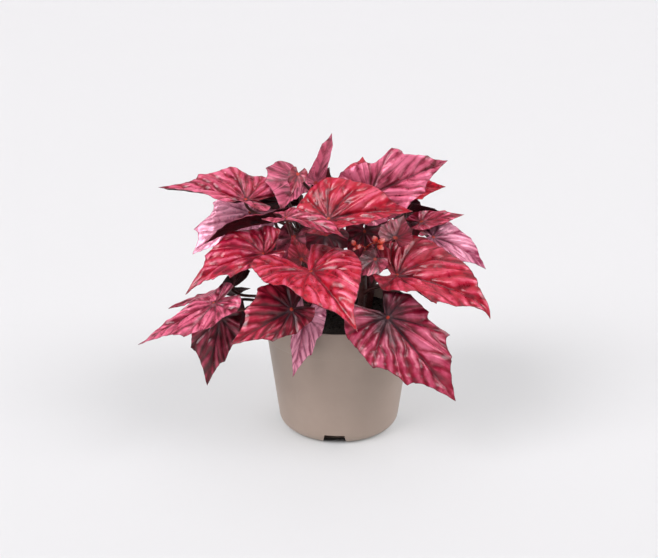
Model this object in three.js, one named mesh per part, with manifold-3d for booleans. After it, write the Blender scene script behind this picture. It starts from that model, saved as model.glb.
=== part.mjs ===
import * as THREE from 'three';
import { mergeVertices } from 'three/addons/utils/BufferGeometryUtils.js';
import Module from 'manifold-3d';

const wasm = await Module();
wasm.setup();

// A potted begonia with painted red leaves, in millimetres, +Z up, standing on z = 0.
// The front of the plant looks towards -Y. The pot's axis is the Z axis.

// Driving dimensions of the pot: a thin moulded nursery pot, 17 cm across the rim.
const rimRadius = 85;
const potHeight = 139.5;
const bandHeight = 108;
const bandStep = 0.7;
const wallRadiusAtBand = 81;
const baseRadius = 68.7;
const footRound = 13.4;
const potWall = 1.5;
const potSegments = 36;
const floorRise = 6.5;
const floorSlope = 3;
const rimBevel = 0.6;
const wallCorner = 0.8;
const floorRadius = 44;
const padRadius = 26;
const notchWidthLow = 27;
const notchWidthHigh = 22;
const notchHeight = 12.5;
const notchReach = 22;
const notchCount = 4;
const notchFirstAngle = -94.5;
const drainHoleRadius = 4;
const drainHoleRing = 36.5;
const drainHoleCount = 6;
const drainHoleSides = 8;
const drillLength = 8;

// Driving dimensions of the soil and of the plant.
const gap = 0.3;
const soilLevel = 124;
const soilMound = 7;
const soilSegments = 24;
const soilHoleSides = 12;
const bladeThickness = 0.8;
const caneRadius = 4.6;
const caneSides = 8;
const caneDepth = 38;
const caneSteps = 6;
const petioleRadius = 1.7;
const petioleSides = 4;
const petioleSteps = 4;
const stalkRadius = 1.1;
const stalkSides = 5;
const budSides = 7;
const budRings = 5;
const waveHeight = 0.025;
const waveCount = 5;

const radians = THREE.MathUtils.degToRad;

const finish = {
  pot: { color: 0x9a8b80, roughness: 0.55 },
  soil: { color: 0x17120f, roughness: 1 },
  cane: { color: 0x6d2a26, roughness: 0.5 },
  crimson: { color: 0xb42340, roughness: 0.4 },
  rose: { color: 0xcf5a78, roughness: 0.4 },
  lilac: { color: 0xc98db4, roughness: 0.35 },
  wine: { color: 0x6e1a3a, roughness: 0.45 },
  bud: { color: 0xe8474a, roughness: 0.35 },
};

// One half of a blade's margin, from the tip round to the petiole: the angle from the midrib, the
// distance from the petiole as a share of the blade's length, and how far the margin draws in
// before the next point (it swells where that number is negative).
const broadHalf = [
  [0, 1.00, 0.09], [26, 0.66, 0.08], [60, 0.53, 0.02], [104, 0.46, -0.08], [148, 0.40, -0.30],
  [180, 0.05, 0],
];
const slimHalf = [
  [0, 1.00, 0.08], [34, 0.60, 0.06], [70, 0.45, 0.00], [112, 0.39, -0.08], [150, 0.35, -0.30],
  [180, 0.05, 0],
];
const longHalf = [
  [0, 1.00, 0.04], [10, 0.80, 0.00], [24, 0.57, 0.00], [62, 0.35, -0.02], [118, 0.44, -0.08],
  [154, 0.33, -0.25], [180, 0.05, 0],
];
const earedHalf = [
  [0, 1.00, 0.06], [12, 0.68, 0.00], [34, 0.57, 0.06], [74, 0.50, -0.05], [126, 0.66, -0.05],
  [150, 0.56, -0.25], [180, 0.08, 0],
];
const roundHalf = [
  [0, 1.00, 0.05], [12, 0.74, -0.02], [42, 0.58, -0.04], [80, 0.54, -0.04], [122, 0.48, -0.06],
  [152, 0.42, -0.25], [180, 0.06, 0],
];
const toothedHalf = [
  [0, 1.00, 0.05], [20, 0.70, 0.10], [37, 0.63, 0.16], [60, 0.42, 0.02], [96, 0.32, -0.02],
  [146, 0.28, -0.25], [180, 0.05, 0],
];
const flaredHalf = [
  [0, 1.00, 0.03], [10, 0.80, 0.00], [26, 0.60, -0.03], [42, 0.60, 0.14], [74, 0.38, 0],
  [118, 0.44, -0.05], [150, 0.42, -0.25], [180, 0.05, 0],
];
const lobedHalf = [
  [0, 1.00, 0.10], [21, 0.84, 0.16], [52, 0.56, 0.06], [100, 0.44, -0.06], [148, 0.40, -0.30],
  [180, 0.05, 0],
];
const slenderHalf = [
  [0, 1.00, 0.02], [8, 0.80, 0], [15, 0.56, 0], [34, 0.30, -0.04], [100, 0.14, -0.10],
  [180, 0.05, 0],
];

// Where extra spokes stand between two points of the margin, and how far out the rings lie.
const spokesBetweenFew = [[0.15, 0.5], [0.5], [0.5], [0.5], [0.5]];
const spokesBetweenMany = [[0.4], [], [0.5], [0.5], [0.5], [0.5], [0.5]];
const ringShares = [0.36, 0.7, 1];
const smallRingShares = [0.55, 1];

// The blades. cane is the stem that carries the blade, height is where its petiole leaves that stem,
// via is a point that the petiole bends round by, and small blades have fewer rings and spokes.
// base is where the petiole meets the blade, tip is its point, and face is the way its upper side
// looks, as an azimuth (0 along +X, -90 to the front) and a height in degrees.
// arch bends the midrib down over its length, curl adds to that at the tip, heel is the bend behind
// the petiole where it differs from arch, and twist turns the blade about its midrib.
// fold lifts each half from the midrib and cup bends it on, both for the left and the right half as
// seen from above with the tip away. wide scales the halves.
const blades = [
  // Front and middle of the plant
  { name: 'leaf_01', cane: 0, height: 170, tone: 'crimson', base: [-30, -86, 210],
    tip: [16, -160, 174], face: [-105, 58], arch: 45, heel: -50, fold: [14, 28], cup: [-40, -20],
    wide: [1, 1], left: roundHalf, right: earedHalf },
  { name: 'leaf_02', cane: 0, height: 138, tone: 'crimson', base: [-49, -98, 173],
    tip: [-109, -128, 147], face: [-100, 28], arch: 15, fold: [8, 8], cup: [-20, -15],
    wide: [0.8, 1.1], left: slimHalf, right: broadHalf },
  { name: 'leaf_03', cane: 0, height: 134, tone: 'lilac', base: [-36, -86, 161],
    tip: [-49, -99, 98], face: [-60, 10], arch: 10, fold: [12, 8], cup: [0, 0],
    wide: [0.75, 0.55], via: [-20, -64, 152] },
  { name: 'leaf_04', cane: 1, height: 138, tone: 'rose', base: [49, -92, 162],
    tip: [118, -122, 82], face: [-85, 40], arch: 14, fold: [8, 8], cup: [-20, -20],
    wide: [0.95, 0.95], left: toothedHalf, right: broadHalf },
  { name: 'leaf_05', cane: 1, height: 158, tone: 'crimson', base: [60, -52, 194],
    tip: [154, -90, 160], face: [-60, 85], arch: 30, curl: 50, heel: -120, fold: [42, -4],
    cup: [-30, 0], wide: [0.95, 0.9], left: roundHalf, right: toothedHalf },
  // Right side
  { name: 'leaf_06', cane: 2, height: 195, tone: 'lilac', base: [102, -5, 221],
    tip: [161, -2, 183], face: [-60, 60], arch: 45, fold: [20, 5], cup: [-30, -20],
    wide: [0.8, 0.9], left: roundHalf },
  { name: 'leaf_07', cane: 2, height: 200, tone: 'rose', small: true, base: [72, 12, 244],
    tip: [112, 18, 243], face: [0, 90], arch: 20, fold: [5, 50], cup: [-20, 20], wide: [0.8, 0.9],
    left: longHalf, right: longHalf },
  { name: 'leaf_08', cane: 2, height: 218, tone: 'crimson', base: [66, 48, 260],
    tip: [119, 45, 264], face: [-90, 45], arch: 10, fold: [0, 0], cup: [-10, -10],
    wide: [0.95, 0.8] },
  { name: 'leaf_09', cane: 4, height: 225, tone: 'rose', base: [34, -4, 268], tip: [117, 22, 299],
    face: [-75, 38], arch: 8, fold: [22, 0], cup: [-10, -10], wide: [1, 0.8], left: flaredHalf,
    right: broadHalf },
  // Centre
  { name: 'leaf_10', cane: 4, height: 225, tone: 'crimson', base: [-12, -52, 255],
    tip: [73, -66, 267], face: [-90, 75], arch: 20, fold: [50, 5], cup: [-30, -20],
    wide: [1, 0.8], via: [-6, -22, 248], left: roundHalf, right: slimHalf },
  { name: 'leaf_11', cane: 1, height: 190, tone: 'rose', small: true, base: [58, -44, 232],
    tip: [68, -22, 250], face: [-90, 40], arch: 10, fold: [12, 12], cup: [0, 0], wide: [1.4, 1.4],
    via: [46, 6, 214] },
  { name: 'leaf_12', cane: 4, height: 190, tone: 'wine', small: true, base: [-15, -22, 229],
    tip: [-23, -43, 199], face: [-95, 30], arch: 10, fold: [8, 8], cup: [-10, -10],
    wide: [1.5, 1.4] },
  { name: 'leaf_13', cane: 1, height: 176, tone: 'wine', small: true, base: [37, -48, 210],
    tip: [12, -68, 195], face: [-90, 35], arch: 15, fold: [10, 10], cup: [-20, -20],
    wide: [0.95, 0.95] },
  { name: 'leaf_14', cane: 0, height: 184, tone: 'crimson', small: true, base: [-40, -55, 212],
    tip: [-50, -53, 238], face: [-90, 20], arch: 5, fold: [20, 10], cup: [0, 0],
    wide: [1.2, 1.0] },
  // Left side
  { name: 'leaf_15', cane: 3, height: 212, tone: 'rose', base: [-100, -8, 264],
    tip: [-193, -2, 275], face: [0, 90], arch: 12, fold: [4, 42], cup: [0, -10],
    wide: [0.8, 0.85], left: longHalf, right: broadHalf },
  { name: 'leaf_16', cane: 3, height: 190, tone: 'lilac', base: [-99, 26, 240],
    tip: [-162, 8, 197], face: [-90, 45], arch: 20, fold: [5, 5], cup: [-10, -10], wide: [0.9, 1],
    right: lobedHalf },
  { name: 'leaf_17', cane: 3, height: 205, tone: 'rose', base: [-68, -18, 243],
    tip: [-141, -52, 228], face: [0, 90], arch: 35, fold: [45, 12], cup: [0, -10],
    wide: [0.8, 0.6], left: longHalf, right: longHalf },
  { name: 'leaf_18', cane: 0, height: 192, tone: 'rose', base: [-55, -66, 261],
    tip: [4, -104, 251], face: [-90, 80], arch: 30, fold: [10, 10], cup: [-20, 0],
    wide: [0.7, 0.7], via: [-48, -38, 226], left: longHalf, right: longHalf },
  { name: 'leaf_19', cane: 0, height: 176, tone: 'rose', base: [-79.5, -50, 217],
    tip: [-159, -78, 182], face: [-90, 75], arch: 50, heel: -140, fold: [8, 28], cup: [-20, -20],
    wide: [0.7, 0.85], left: toothedHalf, right: broadHalf },
  { name: 'leaf_20', cane: 0, height: 155, tone: 'rose', base: [-118, -24, 170],
    tip: [-183, -46, 154], face: [85, 45], arch: 5, twist: -70, fold: [0, 0], cup: [0, 0],
    wide: [1, 0.7] },
  { name: 'leaf_21', cane: 0, height: 146, tone: 'rose', base: [-129, -88, 177],
    tip: [-204, -112, 140], face: [-90, 75], arch: 12, heel: -70, fold: [-5, 4], cup: [0, 0],
    wide: [0.85, 0.5], left: slimHalf, right: longHalf },
  { name: 'leaf_22', cane: 0, height: 136, tone: 'wine', base: [-126, -66, 150],
    tip: [-140, -85, 82], face: [-95, 8], arch: 12, fold: [5, 5], cup: [-10, -10], wide: [0.7, 1],
    via: [-108, -26, 156] },
  { name: 'leaf_23', cane: 0, height: 130, tone: 'wine', small: true, base: [-102, -43, 151],
    tip: [-115, -60, 124], face: [-80, 15], arch: 12, fold: [5, 5], cup: [-10, -10],
    wide: [1, 1] },
  // Top
  { name: 'leaf_24', cane: 4, height: 232, tone: 'rose', base: [-25, -4, 281], tip: [-8, -5, 334],
    face: [-50, 0], arch: 5, fold: [10, 30], cup: [0, 0], wide: [1.9, 0.8], left: slenderHalf,
    right: slenderHalf },
  { name: 'leaf_25', cane: 3, height: 218, tone: 'rose', small: true, base: [-42, 15, 280],
    tip: [-62, -22, 255], face: [-100, 20], arch: 10, fold: [5, 5], cup: [0, 0],
    wide: [0.6, 1.9] },
  { name: 'leaf_26', cane: 4, height: 228, tone: 'rose', small: true, base: [-44, -14, 293],
    tip: [-51, -26, 274], face: [-100, 10], arch: 10, fold: [15, 15], cup: [0, 0], wide: [1, 1] },
  { name: 'leaf_27', cane: 4, height: 222, tone: 'rose', base: [28, 54, 264], tip: [28, 104, 285],
    face: [-90, 70], arch: 5, fold: [8, 8], cup: [-10, -10], wide: [1.1, 0.8], left: roundHalf,
    right: roundHalf },
  { name: 'leaf_28', cane: 4, height: 230, tone: 'rose', small: true, base: [-20, 28, 268],
    tip: [-11, 30, 290], face: [90, 10], arch: 5, fold: [5, 5], cup: [0, 0], wide: [1.2, 1.2] },
  { name: 'leaf_29', cane: 2, height: 212, tone: 'rose', small: true, base: [89, 0, 237],
    tip: [136, 9, 242], face: [-70, 55], arch: 10, fold: [5, 5], cup: [-10, -10],
    wide: [0.6, 0.6], via: [80, 24, 241] },
  { name: 'leaf_30', cane: 2, height: 168, tone: 'rose', small: true, base: [108, 30, 186],
    tip: [152, 20, 166], face: [90, 60], arch: 10, fold: [5, 5], cup: [-10, -10],
    wide: [0.8, 0.8] },
  // Inside the plant
  { name: 'leaf_31', cane: 2, height: 196, tone: 'wine', small: true, base: [28, 18, 220],
    tip: [33, 2, 153], face: [-90, 30], arch: 10, fold: [8, 8], cup: [-10, -10],
    wide: [0.85, 0.8] },
  { name: 'leaf_32', cane: 2, height: 200, tone: 'wine', small: true, base: [75, 40, 238],
    tip: [86, 30, 196], face: [-80, 20], arch: 10, fold: [8, 8], cup: [-10, -10],
    wide: [0.9, 0.9] },
  // Back of the plant
  { name: 'leaf_33', cane: 2, height: 188, tone: 'rose', base: [72, 68, 210],
    tip: [118, 122, 172], face: [45, 70], arch: 40, fold: [10, 10], cup: [-30, -30],
    wide: [1, 1] },
  { name: 'leaf_34', cane: 4, height: 150, tone: 'crimson', base: [30, 86, 226],
    tip: [50, 152, 186], face: [80, 70], arch: 40, fold: [12, 12], cup: [-30, -30],
    wide: [1, 1] },
  { name: 'leaf_35', cane: 4, height: 160, tone: 'rose', base: [-4, 72, 240], tip: [-8, 142, 212],
    face: [90, 70], arch: 40, fold: [10, 10], cup: [-30, -30], wide: [0.95, 0.95] },
  { name: 'leaf_36', cane: 3, height: 190, tone: 'crimson', base: [-35, 86, 221],
    tip: [-50, 149, 178], face: [105, 70], arch: 40, fold: [10, 10], cup: [-30, -30],
    wide: [0.9, 0.9] },
  { name: 'leaf_37', cane: 3, height: 196, tone: 'rose', base: [-67, 75, 240],
    tip: [-100, 104, 186], face: [115, 35], arch: 35, fold: [10, 10], cup: [-30, -30],
    wide: [0.95, 0.95] },
  { name: 'leaf_38', cane: 3, height: 172, tone: 'crimson', base: [-77, 10, 198],
    tip: [-138, 22, 180], face: [100, 42], arch: 30, fold: [10, 10], cup: [-25, -25],
    wide: [0.9, 0.9] },
  { name: 'leaf_39', cane: 2, height: 155, tone: 'crimson', base: [86, 40, 164],
    tip: [134, 66, 124], face: [30, 60], arch: 30, fold: [10, 10], cup: [-25, -25],
    wide: [0.9, 0.9] },
  { name: 'leaf_40', cane: 2, height: 146, tone: 'rose', base: [52, 84, 168], tip: [84, 142, 118],
    face: [60, 60], arch: 35, fold: [10, 10], cup: [-25, -25], wide: [0.9, 0.9] },
  { name: 'leaf_41', cane: 2, height: 140, tone: 'wine', small: true, base: [6, 94, 154],
    tip: [8, 152, 94], face: [90, 50], arch: 30, fold: [10, 10], cup: [-25, -25],
    wide: [0.9, 0.9] },
  { name: 'leaf_42', cane: 3, height: 146, tone: 'crimson', small: true, base: [-46, 80, 196],
    tip: [-66, 130, 138], face: [105, 35], arch: 30, fold: [10, 10], cup: [-25, -25],
    wide: [1, 1] },
  { name: 'leaf_43', cane: 3, height: 175, tone: 'wine', small: true, base: [-49, -17, 225],
    tip: [-60, -36, 188], face: [-90, 30], arch: 10, fold: [8, 8], cup: [-10, -10],
    wide: [1.1, 1.0] },
  { name: 'leaf_44', cane: 3, height: 214, tone: 'rose', base: [-30, 48, 262],
    tip: [-48, 104, 246], face: [100, 75], arch: 30, fold: [12, 12], cup: [-25, -25],
    wide: [1, 1] },
  { name: 'leaf_45', cane: 3, height: 208, tone: 'crimson', base: [-69, 62, 265],
    tip: [-117, 88, 247], face: [130, 55], arch: 30, fold: [12, 12], cup: [-25, -25],
    wide: [0.9, 0.9], via: [-60, 42, 255] },
];

// The canes: the points that each one grows through above the soil.
const canes = [
  { name: 'cane_1', path: [[-26, -24, 132], [-31, -31, 164], [-30, -35, 192]] },
  { name: 'cane_2', path: [[22, -22, 132], [25, -18, 160], [26, -16, 186]] },
  { name: 'cane_3', path: [[34, 24, 132], [41, 28, 175], [46, 30, 222]] },
  { name: 'cane_4', path: [[-32, 26, 132], [-39, 24, 175], [-42, 26, 222]] },
  { name: 'cane_5', path: [[0, 4, 132], [2, 6, 185], [-2, 8, 236]] },
];

// A forked flower stalk with its closed buds: the stem, then each fork with its buds' places and radii.
const spray = {
  stem: [[23.8, -18.6, 187], [25, -28, 204], [27, -38, 219]],
  forks: [
    {
      path: [[27, -38, 219], [33, -48, 227], [40, -56, 231]],
      buds: [[[36, -57, 235], 3.2], [[43, -58, 233], 3.9], [[42, -56, 226], 3.6]],
    },
    {
      path: [[27, -38, 219], [22, -48, 225], [17, -57, 228]],
      buds: [[[14, -58, 231], 2.9], [[19, -59, 227], 2.9], [[15, -60, 225], 2.3]],
    },
  ],
};

const group = new THREE.Group();

function addMesh(name, geometry, look) {
  const mesh = new THREE.Mesh(geometry, new THREE.MeshStandardMaterial({ metalness: 0, ...finish[look] }));
  mesh.name = name;
  group.add(mesh);
}

function toSolid(geometry) {
  const bare = geometry.clone();
  bare.deleteAttribute('normal');
  bare.deleteAttribute('uv');
  const welded = mergeVertices(bare, 1e-4);
  const vertProperties = new Float32Array(welded.attributes.position.array);
  const triVerts = new Uint32Array(welded.index.array);
  return new wasm.Manifold(new wasm.Mesh({ numProp: 3, vertProperties, triVerts }));
}

function fromSolid(solid) {
  const { vertProperties, triVerts } = solid.getMesh();
  const geometry = new THREE.BufferGeometry();
  geometry.setAttribute('position', new THREE.BufferAttribute(new Float32Array(vertProperties), 3));
  geometry.setIndex(new THREE.BufferAttribute(new Uint32Array(triVerts), 1));
  return geometry;
}

// A round tube of the given radius along a curve.
function tubeAlong(curve, radius, sides, steps) {
  const section = new THREE.Shape();
  for (let i = 0; i < sides; i++) {
    const angle = 2 * Math.PI * i / sides;
    const x = radius * Math.cos(angle);
    const y = radius * Math.sin(angle);
    if (i === 0) {
      section.moveTo(x, y);
    } else {
      section.lineTo(x, y);
    }
  }
  section.closePath();
  return new THREE.ExtrudeGeometry(section, { steps, extrudePath: curve, bevelEnabled: false });
}

// A lathe profile is given as [radius, height] pairs and turned round the Z axis.
function turned(profile, segments) {
  const points = profile.map(([radius, height]) => new THREE.Vector2(radius, height));
  return new THREE.LatheGeometry(points, segments).rotateX(Math.PI / 2);
}

// The rounded corner between the pot's wall and its base, from the wall down, moved in by inset.
function footArc(inset, steps) {
  const centerRadius = baseRadius - footRound;
  const radius = footRound - inset;
  const points = [];
  for (let i = 0; i <= steps; i++) {
    const angle = Math.PI / 2 * i / steps;
    points.push([centerRadius + radius * Math.cos(angle), footRound - radius * Math.sin(angle)]);
  }
  return points;
}

function buildPot() {
  const outside = [
    [rimRadius - rimBevel, potHeight],
    [rimRadius, potHeight - rimBevel],
    [wallRadiusAtBand + bandStep, bandHeight + 0.6],
    [wallRadiusAtBand, bandHeight],
    ...footArc(0, 4),
    [floorRadius + floorSlope, 0],
    [floorRadius, floorRise],
    [padRadius + floorSlope, floorRise],
    [padRadius, 0],
    [0, 0],
  ];
  const inside = [
    [0, potWall],
    [padRadius - wallCorner, potWall],
    [padRadius - wallCorner + floorSlope, floorRise + potWall],
    [floorRadius + wallCorner, floorRise + potWall],
    [floorRadius + wallCorner + floorSlope, potWall],
    ...footArc(potWall, 2).reverse(),
    [wallRadiusAtBand - potWall, bandHeight],
    [rimRadius - potWall, potHeight - rimBevel],
    [rimRadius - potWall + rimBevel / 2, potHeight],
  ];
  const profile = [...outside, ...inside, outside[0]];
  let solid = toSolid(turned(profile.reverse(), potSegments));
  const notch = new THREE.Shape();
  notch.moveTo(-notchWidthLow / 2, -1);
  notch.lineTo(notchWidthLow / 2, -1);
  notch.lineTo(notchWidthHigh / 2, notchHeight);
  notch.lineTo(-notchWidthHigh / 2, notchHeight);
  notch.closePath();
  for (let i = 0; i < notchCount; i++) {
    const angle = radians(notchFirstAngle + 360 * i / notchCount);
    const cutter = new THREE.ExtrudeGeometry(notch, { depth: notchReach, bevelEnabled: false });
    cutter.rotateX(Math.PI / 2).rotateZ(Math.PI / 2).translate(floorRadius + 6, 0, 0).rotateZ(angle);
    solid = solid.subtract(toSolid(cutter));
  }
  for (let i = 0; i < drainHoleCount; i++) {
    const angle = 2 * Math.PI * i / drainHoleCount;
    const drill = new THREE.CylinderGeometry(drainHoleRadius, drainHoleRadius, drillLength, drainHoleSides);
    drill.rotateX(Math.PI / 2);
    drill.translate(drainHoleRing * Math.cos(angle), drainHoleRing * Math.sin(angle), floorRise);
    solid = solid.subtract(toSolid(drill));
  }
  return fromSolid(solid);
}

function innerPotRadius(height) {
  const slopeAbove = (rimRadius - wallRadiusAtBand) / (potHeight - bandHeight);
  const slopeBelow = (wallRadiusAtBand - baseRadius) / (bandHeight - footRound);
  const slope = height > bandHeight ? slopeAbove : slopeBelow;
  return wallRadiusAtBand - potWall + (height - bandHeight) * slope;
}

function buildSoil() {
  const floorTop = floorRise + potWall + gap;
  const profile = [
    [0, potWall + gap],
    [padRadius - wallCorner - gap, potWall + gap],
    [padRadius - wallCorner - gap + floorSlope, floorTop],
    [floorRadius + wallCorner + gap, floorTop],
    [floorRadius + 8, floorTop - 3],
    [innerPotRadius(footRound) - 8, floorTop - 1],
    [innerPotRadius(footRound) - 1.4, footRound + 3],
    [innerPotRadius(footRound + 8) - 2 * gap, footRound + 8],
    [innerPotRadius(bandHeight) - 2 * gap, bandHeight],
    [innerPotRadius(soilLevel) - 2 * gap, soilLevel],
    [innerPotRadius(soilLevel) * 0.6, soilLevel + soilMound * 0.6],
    [innerPotRadius(soilLevel) * 0.3, soilLevel + soilMound * 0.9],
    [0, soilLevel + soilMound],
  ];
  let solid = toSolid(turned(profile, soilSegments));
  for (const { path } of canes) {
    const [x, y] = path[0];
    const holeRadius = caneRadius + 2 * gap;
    const top = soilLevel + 2 * soilMound;
    const bottom = soilLevel - caneDepth - gap;
    const hole = new THREE.CylinderGeometry(holeRadius, holeRadius, top - bottom, soilHoleSides);
    hole.rotateX(Math.PI / 2);
    solid = solid.subtract(toSolid(hole.translate(x, y, (top + bottom) / 2)));
  }
  return fromSolid(solid);
}

// How far out the margin lies at an angle from the midrib, on one half.
function marginRadius(half, angle) {
  const last = half.length - 2;
  let i = 0;
  while (i < last && angle > half[i + 1][0]) {
    i++;
  }
  const [startAngle, startRadius, draw] = half[i];
  const [endAngle, endRadius] = half[i + 1];
  const t = (angle - startAngle) / (endAngle - startAngle);
  const a = radians(angle - startAngle);
  const b = radians(endAngle - angle);
  const chord = startRadius * endRadius * Math.sin(a + b) /
    (startRadius * Math.sin(a) + endRadius * Math.sin(b));
  return chord * (1 - draw * 4 * t * (1 - t));
}

function spokeAngles(half) {
  const between = half.length > 6 ? spokesBetweenMany : spokesBetweenFew;
  const angles = [];
  for (let i = 0; i < half.length - 1; i++) {
    const start = half[i][0];
    const end = half[i + 1][0];
    angles.push(start);
    for (const share of between[i]) {
      angles.push(start + (end - start) * share);
    }
  }
  return angles;
}

// The direction of the midrib, and the sideways and upward directions beside it, at a share u of
// the way from the petiole to the tip. Behind the petiole u is negative.
function midribFrame(leaf, u) {
  const { arch = 0, curl = 0, heel = arch, twist = 0 } = leaf;
  const late = Math.max(0, (u - 0.7) / 0.3);
  const pitch = -radians(u < 0 ? heel * u : arch * u + curl * late * late);
  const turn = radians(twist * u);
  const along = new THREE.Vector3(Math.cos(pitch), 0, Math.sin(pitch));
  const flat = new THREE.Vector3(0, 1, 0);
  const rise = along.clone().cross(flat);
  const side = flat.clone().multiplyScalar(Math.cos(turn)).addScaledVector(rise, Math.sin(turn));
  const up = rise.clone().multiplyScalar(Math.cos(turn)).addScaledVector(flat, -Math.sin(turn));
  return { along, side, up };
}

function midribPoint(leaf, u) {
  const steps = 20;
  const point = new THREE.Vector3();
  for (let i = 0; i < steps; i++) {
    point.addScaledVector(midribFrame(leaf, u * (i + 0.5) / steps).along, u / steps);
  }
  return point;
}

// A point of the blade's upper side, before it is put in place, for a blade of length 1.
function bladePoint(leaf, angle, share) {
  const isLeft = angle >= 0;
  const half = isLeft ? leaf.left : leaf.right;
  const which = isLeft ? 0 : 1;
  const reach = marginRadius(half, Math.abs(angle)) * share;
  const u = reach * Math.cos(radians(angle));
  const v = reach * Math.abs(Math.sin(radians(angle))) * leaf.wide[which];
  const fold = radians(leaf.fold[which]);
  const bend = radians(leaf.cup[which]) * 2;
  let across = v * Math.cos(fold);
  let rise = v * Math.sin(fold);
  if (Math.abs(bend) > 0.01) {
    across = (Math.sin(fold + bend * v) - Math.sin(fold)) / bend;
    rise = (Math.cos(fold) - Math.cos(fold + bend * v)) / bend;
  }
  rise += waveHeight * share * share * Math.sin(radians(angle * waveCount));
  const { side, up } = midribFrame(leaf, u);
  const point = midribPoint(leaf, u);
  return point.addScaledVector(side, isLeft ? across : -across).addScaledVector(up, rise);
}

// The matrix that sets a blade of length 1 on its base and tip, its upper side towards face.
function bladePlacement(leaf) {
  const base = new THREE.Vector3(...leaf.base);
  const reach = new THREE.Vector3(...leaf.tip).sub(base);
  const chord = midribPoint(leaf, 1);
  const azimuth = radians(leaf.face[0]);
  const height = radians(leaf.face[1]);
  const facing = new THREE.Vector3(
    Math.cos(height) * Math.cos(azimuth), Math.cos(height) * Math.sin(azimuth), Math.sin(height));
  const turn = (direction, upward) => {
    const x = direction.clone().normalize();
    const z = upward.clone().addScaledVector(x, -upward.dot(x)).normalize();
    return new THREE.Matrix4().makeBasis(x, z.clone().cross(x), z);
  };
  const size = reach.length() / chord.length();
  const local = turn(chord, new THREE.Vector3(0, 0, 1));
  const world = turn(reach, facing);
  const placement = world.multiply(local.transpose());
  placement.scale(new THREE.Vector3(size, size, size));
  return placement.setPosition(base);
}

function buildBlade(leaf) {
  const placement = bladePlacement(leaf);
  const leftAngles = spokeAngles(leaf.left);
  const rightAngles = spokeAngles(leaf.right).slice(1).reverse().map((angle) => -angle);
  const angles = [...leftAngles, 180, ...rightAngles];
  const rings = leaf.small ? smallRingShares : ringShares;
  const points = [bladePoint(leaf, 0, 0)];
  for (const share of rings) {
    for (const angle of angles) {
      points.push(bladePoint(leaf, angle, share));
    }
  }
  const count = angles.length;
  const faces = [];
  for (let j = 0; j < count; j++) {
    const next = (j + 1) % count;
    faces.push([0, 1 + j, 1 + next]);
    for (let ring = 1; ring < rings.length; ring++) {
      const inner = 1 + (ring - 1) * count;
      const outer = 1 + ring * count;
      faces.push([inner + j, outer + j, outer + next]);
      faces.push([inner + j, outer + next, inner + next]);
    }
  }
  const top = points.map((point) => point.applyMatrix4(placement));
  const sheet = new THREE.BufferGeometry().setFromPoints(top);
  sheet.setIndex(faces.flat());
  sheet.computeVertexNormals();
  const normal = new THREE.Vector3();
  const under = top.map((point, i) => {
    normal.fromBufferAttribute(sheet.attributes.normal, i);
    return point.clone().addScaledVector(normal, -bladeThickness);
  });
  const total = top.length;
  const rim = 1 + (rings.length - 1) * count;
  const all = [...faces];
  for (const [a, b, c] of faces) {
    all.push([total + a, total + c, total + b]);
  }
  for (let j = 0; j < count; j++) {
    const a = rim + j;
    const b = rim + (j + 1) % count;
    all.push([b, a, total + a], [b, total + a, total + b]);
  }
  const geometry = new THREE.BufferGeometry().setFromPoints([...top, ...under]);
  geometry.setIndex(all.flat());
  return geometry;
}

// A cane stands straight in its hole and bends only above the soil.
function caneCurve(cane) {
  return new THREE.CatmullRomCurve3(cane.path.map((point) => new THREE.Vector3(...point)));
}

function caneFoot(cane) {
  const [x, y, z] = cane.path[0];
  const foot = new THREE.Vector3(x, y, soilLevel - caneDepth);
  return new THREE.LineCurve3(foot, new THREE.Vector3(x, y, z + caneRadius));
}

function pointAtHeight(curve, height) {
  const points = curve.getPoints(120);
  return points.find((point) => point.z >= height) ?? points.at(-1);
}

// A petiole leaves its cane upwards and outwards and meets its blade from below, a gap away.
function buildPetiole(leaf, curve) {
  const placement = bladePlacement(leaf);
  const up = new THREE.Vector3(0, 0, 1).transformDirection(placement);
  const ridge = Math.max(0, -Math.min(leaf.fold[0], leaf.fold[1]));
  const clear = bladeThickness + gap + petioleRadius * Math.tan(radians(ridge));
  const end = new THREE.Vector3(...leaf.base).addScaledVector(up, -clear);
  const start = pointAtHeight(curve, leaf.height);
  const span = end.distanceTo(start);
  if (leaf.via) {
    const before = end.clone().addScaledVector(up, -petioleRadius * 3);
    const path = new THREE.CatmullRomCurve3([start, new THREE.Vector3(...leaf.via), before, end]);
    return tubeAlong(path, petioleRadius, petioleSides, petioleSteps + 3);
  }
  const leave = start.clone().lerp(end, 0.3).add(new THREE.Vector3(0, 0, span * 0.12));
  const arrive = end.clone().addScaledVector(up, -span * 0.25);
  const path = new THREE.CubicBezierCurve3(start, leave, arrive, end);
  return tubeAlong(path, petioleRadius, petioleSides, petioleSteps);
}

function buildCane(cane, index) {
  const curve = caneCurve(cane);
  let solid = toSolid(tubeAlong(curve, caneRadius, caneSides, caneSteps));
  solid = solid.add(toSolid(tubeAlong(caneFoot(cane), caneRadius, caneSides, 1)));
  for (const leaf of blades) {
    if (leaf.cane === index) {
      solid = solid.add(toSolid(buildPetiole(leaf, curve)));
    }
  }
  return fromSolid(solid);
}

function stalk(points, radius) {
  const curve = new THREE.CatmullRomCurve3(points.map((point) => new THREE.Vector3(...point)));
  return toSolid(tubeAlong(curve, radius, stalkSides, 2 * points.length - 3));
}

function buildSpray() {
  let solid = stalk(spray.stem, stalkRadius);
  for (const { path, buds } of spray.forks) {
    solid = solid.add(stalk(path, stalkRadius));
    for (const [place, radius] of buds) {
      const bud = new THREE.SphereGeometry(radius, budSides, budRings);
      bud.scale(0.9, 0.9, 1.15).translate(...place);
      solid = solid.add(stalk([path.at(-1), place], stalkRadius * 0.7)).add(toSolid(bud));
    }
  }
  return fromSolid(solid);
}

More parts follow.
